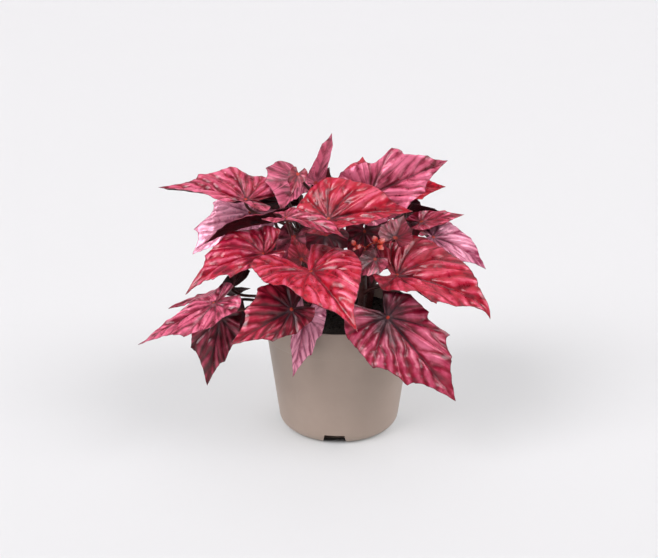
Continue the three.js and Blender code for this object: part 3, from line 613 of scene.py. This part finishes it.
def buildLeaf(name, shape, number, materials):
    make = bladeMake
    spin, size, base = bladePlacement(shape)
    seed = number * 1.7
    grid = bladeGrid(shape, size, seed)
    share = grid["share"]
    points = base + size * (bladePoints(shape, grid["degrees"], grid["reach"], share) @ spin.T)
    fan, quads, walls = bladeFaces(grid["rings"], grid["spokes"])
    normals = vertexNormals(points, quads)
    normals[0] = normals[1:1 + grid["spokes"]].mean(0)
    upper = points + normals * bladeRelief(grid, size, seed)[:, None]
    thinning = (make["thickness"] - make["edgeThickness"]) * (1 - share ** 4)
    lower = upper - normals * (make["edgeThickness"] + thinning)[:, None]
    total = len(points)
    faces = [*fan.tolist(), *quads.tolist(), *(fan[:, ::-1] + total).tolist(),
             *(quads[:, ::-1] + total).tolist(), *walls.tolist()]
    half = len(fan) + len(quads)
    slots = [0] * half + [1] * half + [0] * len(walls)
    piece = addPiece(name, np.concatenate([upper, lower]) * mm, faces, materials, slots)
    setVectors(piece, "vein", bothSides(grid["order"], grid["away"], grid["run"]))
    setVectors(piece, "blade", bothSides(share, grid["x"], grid["y"]))
    setVectors(piece, "mood", np.tile(np.array(shape["look"], float), (2 * total, 1)))
    setValues(piece, "seed", np.full(2 * total, seed))
    return piece


# The colours of the upper sides, dark to light.
bladeColours = {
    "crimson": {
        "deepAndFoldShade": (0.13, 0.001, 0.009), "flesh": (0.49, 0.012, 0.046), "silverAndSheen": (0.82, 0.16, 0.27)},
    "rose": {
        "deepAndFoldShade": (0.13, 0.001, 0.014), "flesh": (0.42, 0.007, 0.056), "silverAndSheen": (0.82, 0.18, 0.30)},
    "lilac": {
        "deepAndFoldShade": (0.28, 0.008, 0.065), "flesh": (0.62, 0.060, 0.165), "silverAndSheen": (0.90, 0.36, 0.50)},
    # a darker copy of the reds: painted shade for the leaves inside and under the plant
    "wine": {
        "deepAndFoldShade": (0.08, 0.001, 0.006), "flesh": (0.28, 0.004, 0.028), "silverAndSheen": (0.60, 0.09, 0.16)},
}
markColours = {
    "vein": (0.030, 0.003, 0.010),
    "veinDarkAndShade": (0.032, 0.001, 0.006),      # painted shade round the petiole, and the dark side veins
    "brightAndBacklit": (0.62, 0.008, 0.028),
    "junction": (0.5, 0.03, 0.008),     # where the petiole meets the blade
}
underColours = {
    "tissue": ((0.016, 0.001, 0.0025), (0.055, 0.003, 0.007)),
    "ridge": (0.11, 0.010, 0.014),
    "junction": (0.4, 0.02, 0.006),
}


def veinCrest(order):
    # 0 on a side vein, 1 half way between two
    return 1 - (order.fraction() * 2 - 1).size()


def upperPaint(tone):
    colours, marks = bladeColours[tone], markColours
    paint = Paint("upper_" + tone, IOR=1.56)
    order, away, run = paint.parts(paint.attribute("vein", "Vector"))
    share, x, y = paint.parts(paint.attribute("blade", "Vector"))
    silverAndSheen, shade, brightAndBacklit = paint.parts(paint.attribute("mood", "Vector"))
    seed = paint.attribute("seed")
    flat = paint.join(x, y, seed * 31)

    # large and small clouds, bands along the pleats and fine streaks in them
    cloud = paint.noise(flat, 0.055, 3, 0.6) - 0.5
    patch = paint.noise(flat, 0.15, 3, 0.6) - 0.5
    band = paint.noise(paint.join(order * 1.4, away * 0.07, seed), 1.0, 3, 0.6) - 0.5
    streak = paint.noise(paint.join(order * 4.0, away * 0.12, seed), 1.0, 4, 0.6) - 0.5
    crest = veinCrest(order)
    clear = away.ramp(0.6, 4.0)                              # of the main veins
    crown = crest.ramp(0.05, 0.85) * clear

    # the red of the tissue, darker in the valleys between the pleats as painted shade, then the
    # silver on the crowns of the pleats, partly the leaf's own and partly painted highlight
    flesh = crown * 0.8 + cloud * 1.6 + band * 1.6 + 0.1
    tissue = paint.mix(flesh.clamped(), colours["deepAndFoldShade"], colours["flesh"])
    # bright red patches, the leaf's own, and all over leaf_08 painted backlight
    vivid = brightAndBacklit * (patch + cloud).ramp(-0.14, 0.1, 0.25, 1.0)
    tissue = paint.mix(vivid, tissue, marks["brightAndBacklit"])
    glint = crown * 0.4 + band * 1.6 + cloud * 1.2 + patch * 0.6 + silverAndSheen * 0.9
    shine = glint.ramp(0.45, 1.4)
    tissue = paint.mix(shine, tissue, colours["silverAndSheen"])

    # the dark side veins, the painted shade round the petiole, the main veins, darker with that
    # shade, the junction and the margin
    side = crest.ramp(0.02, 0.11, 0.25, 0.0) * clear
    tissue = paint.mix(side, tissue, marks["veinDarkAndShade"])
    veinDarkAndShade = (run / 34 + cloud * 0.8).ramp(0.1, 1.0, 1.0, 0.0) * shade + shade * 0.2
    tissue = paint.mix((veinDarkAndShade * 0.9).clamped(), tissue, marks["veinDarkAndShade"])
    width = 1.4 - share * 1.1
    main = (away / width).ramp(0.4, 1.2, 1.0, 0.0) * share.ramp(0.2, 0.9, 1.0, 0.15)
    tissue = paint.mix(main * (shade * 0.6 + 0.4), tissue, marks["vein"])
    tissue = paint.mix(run.ramp(1.2, 2.6, 0.85, 0.0), tissue, marks["junction"])
    tissue = paint.mix(share.ramp(0.983, 0.998, 0.0, 0.6), tissue, marks["vein"])

    height = streak * 1.6 + patch * 0.5
    rough = patch * 0.2 + 0.29 + (main * 0.25 + veinDarkAndShade * 0.2).clamped()
    return paint.finish(Base_Color=tissue, Roughness=rough, Metallic=shine * 0.2,
                        Normal=paint.bump(height, 0.3, 0.0005))


def lowerPaint():
    paint = Paint("underside", IOR=1.4, Specular_IOR_Level=0.25)
    order, away, run = paint.parts(paint.attribute("vein", "Vector"))
    share, x, y = paint.parts(paint.attribute("blade", "Vector"))
    flat = paint.join(x, y, paint.attribute("seed") * 31)
    cloud = paint.noise(flat, 0.07, 3, 0.6)
    crest = veinCrest(order)
    tissue = paint.mix(cloud.ramp(0.35, 0.7), *underColours["tissue"])
    main = (away / (1.5 - share)).ramp(0.4, 1.0, 1.0, 0.0)
    ridge = (main + crest.ramp(0.02, 0.14, 0.5, 0.0)).clamped()
    tissue = paint.mix(ridge * 0.7, tissue, underColours["ridge"])
    tissue = paint.mix(run.ramp(1.5, 5.0, 0.9, 0.0), tissue, underColours["junction"])
    net = paint.cells(flat, 0.5, feature="DISTANCE_TO_EDGE")
    height = ridge * 1.2 + net.ramp(0.0, 0.2) * 0.5
    rough = cloud * 0.2 + 0.42
    return paint.finish(Base_Color=tissue, Roughness=rough, Normal=paint.bump(height, 0.6, 0.0006))


undersidePaint = lowerPaint()
upperPaints = {tone: upperPaint(tone) for tone in bladeColours}
for number, (name, shape) in enumerate(leafShapes.items()):
    leaf = buildLeaf(name + "_blade", shape, number, [upperPaints[shape["tone"]], undersidePaint])
    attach(leaf, "root")
    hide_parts(name)
    "leaf_" + shape["tone"]
print("leaves grown")


# The canes and the petioles that grow from them.
canePaths = {
    "cane_1": [(-26, -24, 132), (-31, -31, 164), (-30, -35, 192)],
    "cane_2": [(22, -22, 132), (25, -18, 160), (26, -16, 186)],
    "cane_3": [(34, 24, 132), (41, 28, 175), (46, 30, 222)],
    "cane_4": [(-32, 26, 132), (-39, 24, 175), (-42, 26, 222)],
    "cane_5": [(0, 4, 132), (2, 6, 185), (-2, 8, 236)],
}
caneMake = {
    "foot": 92,                 # height of the lower end, in the soil
    "radius": 4.5,
    "sides": 18,
    "nodeSpacing": 21,
    "nodeLength": 1.8,
    "nodeSwell": 0.14,          # as a share of the radius
    "betweenNodes": 0.9,        # likewise
    "caneSteps": 30,            # from one of its points to the next
    "petiole": 1.65,            # radius
    "petioleSides": 10,
    "petioleSteps": 26,
    "viaSteps": 12,             # of a petiole with a via point, from point to point
    "run": 5.1,                 # it ends in a nearly straight run of that length
    "sleeve": 2.5,              # radius of a petiole where it leaves the cane
    "sleeveFade": 9,            # how fast it gets thinner
    "collar": 0.35,             # how much thicker it is at the blade
    "collarFade": 14,
    "rise": 0.12,               # how far it arches up, as a share of its length
    "leave": 0.3,               # and how far it is bent at its start
    "arrive": 0.25,             # and at its end
    "gap": 0.4,                 # between its end and the middle of the blade's thickness
    "skin": ((0.045, 0.008, 0.007), (0.11, 0.022, 0.018)),
    "streak": (0.15, 0.045, 0.03),
    "spots": (0.28, 0.17, 0.13),
}


def throughPoints(points, count):
    # a smooth curve through the points, tightened by their spacing
    points = [Vector(p) for p in points]
    points = [2 * points[0] - points[1], *points, 2 * points[-1] - points[-2]]
    curve = []
    for a, b, c, d in zip(points, points[1:], points[2:], points[3:]):
        ka, kb, kc = [max((q - p).length ** 0.5, 1e-4) for p, q in ((a, b), (b, c), (c, d))]
        out = (b - a) / ka - (c - a) / (ka + kb) + (c - b) / kb
        into = (c - b) / kb - (d - b) / (kb + kc) + (d - c) / kc
        out, into = out * kb, into * kb
        for i in range(count):
            t = i / count
            curve.append(b * (2 * t ** 3 - 3 * t ** 2 + 1) + out * (t ** 3 - 2 * t ** 2 + t)
                         + c * (3 * t ** 2 - 2 * t ** 3) + into * (t ** 3 - t ** 2))
    return [*curve, points[-2]]


def bezierPoints(a, b, c, d, count):
    steps = [i / count for i in range(count + 1)]
    return [a * (1 - t) ** 3 + b * 3 * t * (1 - t) ** 2 + c * 3 * t * t * (1 - t) + d * t ** 3
            for t in steps]


def tubeFaces(rings, sides, start):
    # faces of a closed tube whose points run round it, ring after ring
    faces = []
    for i in range(rings - 1):
        for k in range(sides):
            a, b = start + i * sides + k, start + i * sides + (k + 1) % sides
            faces.append((a, b, b + sides, a + sides))
    faces.append(tuple(start + k for k in reversed(range(sides))))
    faces.append(tuple(start + (rings - 1) * sides + k for k in range(sides)))
    return faces


def sweep(path, radii, sides, start=0):
    # points and faces of a closed round tube whose thickness changes along its path
    points = []
    across = None
    for i, place in enumerate(path):
        along = (path[min(i + 1, len(path) - 1)] - path[max(i - 1, 0)]).normalized()
        across = along.orthogonal() if across is None else across - along * across.dot(along)
        across.normalize()
        beside = along.cross(across)
        for k in range(sides):
            angle = 2 * math.pi * k / sides
            points.append(place + (across * math.cos(angle) + beside * math.sin(angle)) * radii[i])
    return points, tubeFaces(len(path), sides, start)


def petiolePath(shape, cane):
    spin, _, base = bladePlacement(shape)
    up, base = Vector(spin[:, 2]), Vector(base)
    end = base - up * caneMake["gap"]
    start = next((p for p in cane if p.z >= shape["height"]), cane[-1])
    if "via" in shape:
        stops = [start, shape["via"], end - up * caneMake["run"], end]
        return throughPoints(stops, caneMake["viaSteps"])
    span = (end - start).length
    leave = start.lerp(end, caneMake["leave"]) + Vector((0, 0, span * caneMake["rise"]))
    arrive = end - up * span * caneMake["arrive"]
    return bezierPoints(start, leave, arrive, end, caneMake["petioleSteps"])


def caneRadius(height):
    spacing = caneMake["nodeSpacing"]
    fromNode = abs((height / spacing + 0.5) % 1 - 0.5) * spacing
    swell = caneMake["nodeSwell"] * math.exp(-(fromNode / caneMake["nodeLength"]) ** 2)
    return caneMake["radius"] * (caneMake["betweenNodes"] + swell)


def petioleRadius(i, count):
    # thicker in the sleeve at the cane, and a little at the blade
    m = caneMake
    sleeve = (m["sleeve"] - m["petiole"]) * math.exp(-i / count * m["sleeveFade"])
    collar = m["collar"] * math.exp(-(count - i) / count * m["collarFade"])
    return m["petiole"] + sleeve + collar


def canePaint():
    paint = Paint("cane_skin")
    place = paint.place()
    cloud = paint.noise(place, 60, 3, 0.6)
    streak = paint.noise(paint.stretch(place, (1, 1, 0.15)), 700, 2, 0.6)
    spots = paint.cells(place, 420).ramp(0.1, 0.2, 1.0, 0.0)
    skin = paint.mix(cloud.ramp(0.3, 0.7), *caneMake["skin"])
    skin = paint.mix(streak.ramp(0.5, 0.75) * 0.5, skin, caneMake["streak"])
    skin = paint.mix(spots * 0.55, skin, caneMake["spots"])
    height = streak * 0.5 + spots
    return paint.finish(Base_Color=skin, Roughness=cloud * 0.25 + 0.35,
                        Normal=paint.bump(height, 0.5, 0.0003))


def buildCane(name, path, index, material):
    foot = Vector((path[0][0], path[0][1], caneMake["foot"]))
    upper = throughPoints(path, caneMake["caneSteps"])
    whole = [foot, foot.lerp(upper[0], 0.5), *upper]
    points, faces = sweep(whole, [caneRadius(place.z) for place in whole], caneMake["sides"])
    for shape in leafShapes.values():
        if shape["cane"] == index:
            route = petiolePath(shape, upper)
            radii = [petioleRadius(i, len(route) - 1) for i in range(len(route))]
            more, moreFaces = sweep(route, radii, caneMake["petioleSides"], len(points))
            points += more
            faces += moreFaces
    return addPiece(name, [p * mm for p in points], faces, [material])


caneSkin = canePaint()
for index, (name, path) in enumerate(canePaths.items()):
    cane = buildCane(name + "_stem", path, index, caneSkin)
    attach(cane, "root")
    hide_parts(name)
print("canes grown")


# The flower stalk with its buds. Each bud has a place and a radius.
sprayMake = {
    "stem": [(23.8, -18.6, 186), (25, -28, 204), (27, -38, 219)],
    "forks": [
        {"path": [(27, -38, 219), (33, -48, 227), (40, -56, 231)],
         "buds": [((36, -57, 235), 3.2), ((43, -58, 233), 3.9), ((42, -56, 226), 3.6)]},
        {"path": [(27, -38, 219), (22, -48, 225), (17, -57, 228)],
         "buds": [((14, -58, 231), 2.9), ((19, -59, 227), 2.9), ((15, -60, 225), 2.3)]},
    ],
    "stemRadius": 1.0,
    "forkRadius": 0.9,
    "stemSides": 10,
    "stemSteps": 10,                # from one of its points to the next
    "budStalk": [0.6, 0.65, 0.8],   # its radii, from the fork to the bud
    "budStalkSides": 8,
    "budRings": 16,
    "budSides": 24,
    "budWide": 0.95,                # in radii
    "budLength": 2.5,               # likewise
    "budFlat": 0.8,                 # thickness over width
    "budSeam": 0.16,                # depth of the seam between the petals, and its width
    "budLean": (0, -0.3, 1),        # buds turn towards it
    "budTurn": 0.35,                # as much as this
    "tint": {"stem": 0.15, "budStalk": 0.25},   # 0 is a bud's foot and 1 its tip
    "low": ((0.35, 0.012, 0.01), (0.75, 0.045, 0.03)),
    "tip": (0.92, 0.36, 0.34),
    "blush": (0.9, 0.16, 0.05),
}


def budPoints(place, outward, radius, start):
    # a closed bud: two petals pressed together, pointed at the top, with a seam between them
    points, tips = [], []
    rings, sides = sprayMake["budRings"], sprayMake["budSides"]
    seamSize, length = sprayMake["budSeam"], sprayMake["budLength"]
    across = outward.orthogonal().normalized()
    beside = outward.cross(across)
    for i in range(rings + 1):
        t = i / rings
        wide = 0.02                                          # of both ends
        if 0 < t < 1:
            wide = radius * sprayMake["budWide"] * math.sin(math.pi * t ** 0.85) ** 0.75
        for k in range(sides):
            angle = 2 * math.pi * k / sides
            seam = seamSize * math.exp(-(math.sin(angle) / seamSize) ** 2) * math.sin(math.pi * t)
            flat = across * math.cos(angle) + beside * math.sin(angle) * sprayMake["budFlat"]
            middle = place + outward * radius * (length * t - length / 2)
            points.append(middle + flat * wide * (1 - seam))
            tips.append(t)
    return points, tubeFaces(rings + 1, sides, start), tips


def budPaint():
    paint = Paint("bud_skin")
    tip = paint.attribute("tip")
    cloud = paint.noise(paint.place(), 300, 2, 0.5)
    skin = paint.mix(tip.ramp(0.1, 0.55), *sprayMake["low"])
    skin = paint.mix(tip.ramp(0.5, 0.95), skin, sprayMake["tip"])
    skin = paint.mix(cloud.ramp(0.4, 0.7) * 0.4, skin, sprayMake["blush"])
    return paint.finish(Base_Color=skin, Roughness=cloud * 0.2 + 0.18,
                        Normal=paint.bump(cloud, 0.3, 0.0003))


def buildSpray(material):
    points, faces, tips = [], [], []
    routes = [(sprayMake["stem"], sprayMake["stemRadius"]),
              *[(fork["path"], sprayMake["forkRadius"]) for fork in sprayMake["forks"]]]
    for route, radius in routes:
        path = throughPoints(route, sprayMake["stemSteps"])
        radii = [radius] * len(path)
        more, moreFaces = sweep(path, radii, sprayMake["stemSides"], len(points))
        points += more
        faces += moreFaces
        tips += [sprayMake["tint"]["stem"]] * len(more)
    lean, turn = Vector(sprayMake["budLean"]), sprayMake["budTurn"]
    for fork in sprayMake["forks"]:
        end = Vector(fork["path"][-1])
        for place, radius in fork["buds"]:
            place = Vector(place)
            outward = (place - end).normalized().lerp(lean, turn).normalized()
            stalk, sides = [end, end.lerp(place, 0.5), place], sprayMake["budStalkSides"]
            more, moreFaces = sweep(stalk, sprayMake["budStalk"], sides, len(points))
            points += more
            faces += moreFaces
            tips += [sprayMake["tint"]["budStalk"]] * len(more)
            more, moreFaces, moreTips = budPoints(place, outward, radius, len(points))
            points += more
            faces += moreFaces
            tips += moreTips
    spray = addPiece("flower_spray_buds", [p * mm for p in points], faces, [material])
    setValues(spray, "tip", tips)
    return spray


spray = buildSpray(budPaint())
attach(spray, "root")
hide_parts("flower_spray")
print("buds set")


# The pot: a profile turned round the axis, with its foot notches and drain holes cut out.
potMake = {
    "rim": 85,
    "height": 139.5,
    "lip": [(0.75, 0), (0.2, 0.25), (0, 0.8)],      # each point in from the rim, and down
    "lipInside": [(0, 0.6), (-0.3, 0.1)],
    "band": 108,                    # height of the band line
    "bandLine": [(0.8, 1.1), (0.6, 0.5), (0.05, 0), (-0.1, -0.8)],  # out from the wall, and up
    "wallAtBand": 81,
    "wall": 1.5,
    "base": 68.7,                   # radius of the foot
    "footRound": 13.4,
    "footSteps": (14, 8),           # of that round outside and inside
    "floor": 44,                    # radius of the hollow underneath
    "floorEdge": [(3.6, 0), (2.8, 0.4)],
    "floorRise": 6.5,
    "pad": 26,                      # radius of the middle, which stands down again
    "slope": 3,                     # width of the floor's two steps
    "slopeShift": 0.8,              # keeps the wall even there
    "notches": 4,
    "firstNotch": -94.5,
    "notchLow": 27,                 # its width at the bottom
    "notchHigh": 22,                # and at the top
    "notchHeight": 12.5,
    "notchDepth": (50, 72),
    "holes": 6,
    "holeRadius": 4,
    "holeRing": 36.5,
    "holeHeight": (4, 10.5),
    "holeSides": 24,
    "segments": 192,
    "crease": 38,                   # edges that turn by more stay sharp
    "body": ((0.375, 0.290, 0.235), (0.415, 0.324, 0.264)),
    "scuff": (0.47, 0.38, 0.33),
}


def footArc(inset, steps):
    centre, radius = potMake["base"] - potMake["footRound"], potMake["footRound"] - inset
    angles = [math.pi / 2 * i / steps for i in range(steps + 1)]
    return [(centre + radius * math.cos(a), potMake["footRound"] - radius * math.sin(a))
            for a in angles]


def potProfile():
    # the outside from the rim down to the axis, and the inside back up
    m = potMake
    top, band, wall, floor, pad = m["height"], m["band"], m["wall"], m["floor"], m["pad"]
    rise, slope, shift = m["floorRise"], m["slope"], m["slopeShift"]
    stepsOutside, stepsInside = m["footSteps"]
    outside = [*[(m["rim"] - inward, top - down) for inward, down in m["lip"]],
               *[(m["wallAtBand"] + outward, band + up) for outward, up in m["bandLine"]],
               *footArc(0, stepsOutside),
               *[(floor + outward, up) for outward, up in m["floorEdge"]],
               (floor, rise), (pad + slope, rise), (pad, 0), (0.001, 0)]
    inside = [(0.001, wall), (pad - shift, wall), (pad + slope - shift, rise + wall),
              (floor + shift, rise + wall), (floor + slope + shift, wall),
              *reversed(footArc(wall, stepsInside)), (m["wallAtBand"] - wall, band),
              *[(m["rim"] - wall - inward, top - down) for inward, down in m["lipInside"]]]
    return [*outside, *inside, outside[0]]


def ringPlaces(radius, sides):
    angles = [2 * math.pi * k / sides for k in range(sides)]
    return [(radius * math.cos(a), radius * math.sin(a)) for a in angles]


def turnedPoints(profile, segments):
    # a closed profile turned round the axis
    points, faces = [], []
    for c, s in ringPlaces(1, segments):
        points += [(r * c, r * s, z) for r, z in profile]
    count = len(profile)
    for i in range(segments):
        here, there = i * count, (i + 1) % segments * count
        for k in range(count - 1):
            faces.append((here + k, there + k, there + k + 1, here + k + 1))
    return points, faces


def notchPoints(angle):
    # a wedge through the foot ring, lying out from the axis
    low, high, height = potMake["notchLow"] / 2, potMake["notchHigh"] / 2, potMake["notchHeight"]
    corners = [(-low, -1), (low, -1), (high, height), (-high, height)]
    c, s = math.cos(angle), math.sin(angle)
    return [(r * c - y * s, r * s + y * c, z) for r in potMake["notchDepth"] for y, z in corners]


def holePoints(angle):
    x, y = potMake["holeRing"] * math.cos(angle), potMake["holeRing"] * math.sin(angle)
    ring = ringPlaces(potMake["holeRadius"], potMake["holeSides"])
    return [(x + a, y + b, z) for z in potMake["holeHeight"] for a, b in ring]


def weld(piece):
    body = bmesh.new()
    body.from_mesh(piece.data)
    bmesh.ops.remove_doubles(body, verts=body.verts, dist=1e-5)
    bmesh.ops.recalc_face_normals(body, faces=body.faces)
    body.to_mesh(piece.data)
    body.free()


def bake(piece):
    # keeps what the modifiers make as the piece's own mesh
    evaluated = piece.evaluated_get(bpy.context.evaluated_depsgraph_get())
    mesh = bpy.data.meshes.new_from_object(evaluated)
    piece.modifiers.clear()
    piece.data = mesh


def buildPot(paint):
    m = potMake
    points, faces = turnedPoints(potProfile()[::-1], m["segments"])
    pot = addPiece("pot_shell", np.array(points) * mm, faces, [paint])
    notches = [notchPoints(math.radians(m["firstNotch"] + 360 / m["notches"] * i))
               for i in range(m["notches"])]
    holes = [holePoints(2 * math.pi * i / m["holes"]) for i in range(m["holes"])]
    cutPoints, cutFaces = [], []
    for body in (*notches, *holes):
        cutFaces += tubeFaces(2, len(body) // 2, len(cutPoints))
        cutPoints += body
    cutter = addPiece("pot_cutter", np.array(cutPoints) * mm, cutFaces, [])
    for piece in (pot, cutter):
        weld(piece)
    cut = pot.modifiers.new("cut", "BOOLEAN")
    cut.object = cutter
    cut.operation = "DIFFERENCE"
    bake(pot)
    bpy.data.objects.remove(cutter)
    crease = pot.modifiers.new("crease", "EDGE_SPLIT")
    crease.split_angle = math.radians(m["crease"])
    bake(pot)
    return pot


def potPaint():
    paint = Paint("pot_plastic", IOR=1.48)
    place = paint.place()
    cloud = paint.noise(place, 9, 4, 0.6)
    grain = paint.noise(place, 1600, 2, 0.6)
    scuff = paint.noise(paint.stretch(place, (1, 1, 0.12)), 60, 4, 0.7)
    body = paint.mix(cloud.ramp(0.35, 0.65), *potMake["body"])
    body = paint.mix(scuff.ramp(0.58, 0.8) * 0.25, body, potMake["scuff"])
    return paint.finish(Base_Color=body, Roughness=cloud * 0.12 + 0.4,
                        Normal=paint.bump(grain * 0.5 + scuff * 0.3, 0.2, 0.0003))


pot = buildPot(potPaint())
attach(pot, "root")
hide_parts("pot")
print("pot turned")


# The soil: a mounded, lumpy top and the plug below it, with loose crumbs.
soilMake = {
    "level": 124,                   # at the pot's wall
    "mound": 7,                     # how much higher the middle is
    "radius": 81.2,
    "plug": [(79.0, 108), (67.4, 22), (60, 8.4)],       # radius and height of what is below
    "rings": 60,
    "sides": 180,
    "lump": 1.6,                    # height of the lumps
    "lumpFine": (0.09, 0.35),       # how fine the large and the small ones are
    "smallLump": 0.6,               # as a share of the large ones
    "crumbs": 700,
    "crumbReach": 0.98,             # share of the radius over which they lie
    "crumbRise": 0.3,               # how high their middles are, as a share of their size
    "crumbSize": (0.6, 2.1),
    "crumbShape": (0.6, 1.2),       # how far out their corners are, as a share of that size
    "earth": ((0.006, 0.004, 0.003), (0.03, 0.019, 0.012)),
    "fibre": (0.09, 0.055, 0.03),
}
crumbCorners = [(1, 0, 0), (-1, 0, 0), (0, 1, 0), (0, -1, 0), (0, 0, 1), (0, 0, -1)]
crumbFaces = [(0, 2, 4), (2, 1, 4), (1, 3, 4), (3, 0, 4),
              (2, 0, 5), (1, 2, 5), (3, 1, 5), (0, 3, 5)]


def soilHeight(x, y):
    share = min(1, math.hypot(x, y) / soilMake["radius"])
    large, small = soilMake["lumpFine"]
    lumps = noise.noise(Vector((x * large, y * large, 0.3)))
    lumps += soilMake["smallLump"] * noise.noise(Vector((x * small, y * small, 4.0)))
    swell = soilMake["mound"] * (1 - share ** 2)
    return soilMake["level"] + swell + soilMake["lump"] * lumps


def buildSoil(paint):
    m = soilMake
    rings, sides = m["rings"], m["sides"]
    points = [(0, 0, soilHeight(0, 0))]
    for i in range(1, rings + 1):
        points += [(x, y, soilHeight(x, y)) for x, y in ringPlaces(m["radius"] * i / rings, sides)]
    for radius, height in m["plug"]:
        points += [(x, y, height) for x, y in ringPlaces(radius, sides)]
    faces = [(0, 1 + k, 1 + (k + 1) % sides) for k in range(sides)]
    for i in range(rings + len(m["plug"]) - 1):
        inner, outer = 1 + i * sides, 1 + (i + 1) * sides
        faces += [(inner + k, outer + k, outer + (k + 1) % sides, inner + (k + 1) % sides)
                  for k in range(sides)]
    faces.append(tuple(reversed(range(len(points) - sides, len(points)))))
    for _ in range(m["crumbs"]):
        r = m["radius"] * m["crumbReach"] * dice.random() ** 0.5
        a = dice.uniform(0, 2 * math.pi)
        x, y, size = r * math.cos(a), r * math.sin(a), dice.uniform(*m["crumbSize"])
        middle = Vector((x, y, soilHeight(x, y) + size * m["crumbRise"]))
        start = len(points)
        for corner in crumbCorners:
            points.append(tuple(middle + Vector(corner) * size * dice.uniform(*m["crumbShape"])))
        faces += [tuple(start + k for k in face) for face in crumbFaces]
    return addPiece("soil_mound", np.array(points) * mm, faces, [paint])


def soilPaint():
    paint = Paint("potting_soil")
    place = paint.place()
    clod = paint.noise(place, 260, 4, 0.7)
    fibre = paint.cells(paint.stretch(place, (1, 0.4, 1)), 700)
    earth = paint.mix(clod.ramp(0.35, 0.7), *soilMake["earth"])
    earth = paint.mix(fibre.ramp(0.0, 0.12, 0.6, 0.0), earth, soilMake["fibre"])
    return paint.finish(Base_Color=earth, Roughness=clod * 0.1 + 0.88,
                        Normal=paint.bump(clod + fibre * 0.4, 0.9, 0.001))


soil = buildSoil(soilPaint())
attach(soil, "root")
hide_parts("soil")
print("soil filled")


# The studio: a pale floor that glows as painted light to soften its shadows, under a soft sky with
# brighter patches at both sides and above, two lamps, and the camera. Its sizes are in metres.
studio = {
    "floorSize": 60,
    "floorColour": (0.41, 0.416, 0.414),
    "floorVary": 0.01,
    # the floor's glow is painted light: it lifts the shadows round the pot and lights the plant
    # from below
    "floorGlow": 0.8,
    "glowFrom": (0.0030, 0.0044),   # squares of the distances from the axis at which it sets in
    "skyColour": (1, 0.955, 1),
    "skyFront": 0.03,
    "skyBack": 0.8,
    "skyHorizon": 0.75,
    "patches": [
        {"toward": (-0.62, -0.42, 0.66), "from": 0.92, "to": 0.97, "strength": 7.8},
        {"toward": (0.60, -0.34, 0.72), "from": 0.92, "to": 0.97, "strength": 6.0},
        {"toward": (0.0, 0.2, 0.98), "from": 0.90, "to": 0.96, "strength": 1.0},
    ],
    "lamps": [
        {"name": "left", "place": (-2.6, -1.2, 2.4), "size": 1.0, "power": 10},
        {"name": "right", "place": (2.8, -0.2, 1.8), "size": 0.9, "power": 5},
    ],
    "lampTarget": (0, 0, 0.2),
    "cameraPlace": (-0.01132, -1.0421, 0.54294),
    "cameraTarget": (-0.01132, 0, 0.17064),
    "lens": 54.71,                  # in millimetres, as the sensor's width
    "sensor": 36,
}


def floorPaint():
    paint = Paint("studio_floor", Roughness=0.8, Emission_Strength=studio["floorGlow"])
    cloud = paint.noise(paint.place(), 1.2, 3, 0.5)
    colour, vary = studio["floorColour"], studio["floorVary"]
    tone = paint.mix(cloud, [c * (1 - vary) for c in colour], [c * (1 + vary) for c in colour])
    x, y, _ = paint.parts(paint.place())
    uncovered = (x * x + y * y).ramp(*studio["glowFrom"])    # the painted glow is left out under the pot
    glow = paint.mix(uncovered, (0, 0, 0), colour)
    return paint.finish(Base_Color=tone, Emission_Color=glow)


def skyPaint():
    world = bpy.data.worlds.new("studio_sky")
    world.use_nodes = True
    sky = Paint(world, Color=rgba(studio["skyColour"]))
    toward = sky.node("ShaderNodeTexCoord", output="Generated")
    _, back, rise = sky.parts(toward)
    strength = back.ramp(0.2, 0.8, studio["skyFront"], studio["skyBack"])
    horizon = rise.ramp(0.0, 0.1, studio["skyHorizon"], 0.0)
    strength = strength + horizon * back.ramp(0.2, 0.8, 1.0, 0.0)
    for patch in studio["patches"]:
        towardPatch = sky.node("ShaderNodeVectorMath", {"operation": "DOT_PRODUCT"},
                               {0: toward, 1: patch["toward"]}, "Value")
        strength = strength + towardPatch.ramp(patch["from"], patch["to"]) * patch["strength"]
    return sky.finish(Strength=strength)


def aimed(name, data, place, target):
    # a lamp or a camera that looks at the target
    made = bpy.data.objects.new(name, data)
    made.location = place
    made.rotation_euler = (Vector(target) - Vector(place)).to_track_quat("-Z", "Y").to_euler()
    bpy.context.scene.collection.objects.link(made)
    return made


edge = studio["floorSize"] / 2
floorCorners = [(-edge, -edge, 0), (edge, -edge, 0), (edge, edge, 0), (-edge, edge, 0)]
floor = addPiece("studio_floor", floorCorners, [(0, 1, 2, 3)], [floorPaint()], smooth=False)
bpy.context.scene.world = skyPaint()
for lamp in studio["lamps"]:
    light = bpy.data.lights.new("lamp_" + lamp["name"], "AREA")
    light.size = lamp["size"]
    light.energy = lamp["power"]
    aimed(light.name, light, lamp["place"], studio["lampTarget"])

lens = bpy.data.cameras.new("camera")
lens.lens = studio["lens"]
lens.sensor_width = studio["sensor"]
camera = aimed("camera", lens, studio["cameraPlace"], studio["cameraTarget"])
bpy.context.scene.camera = camera
bpy.context.scene.view_settings.view_transform = "Standard"
print("studio lit")
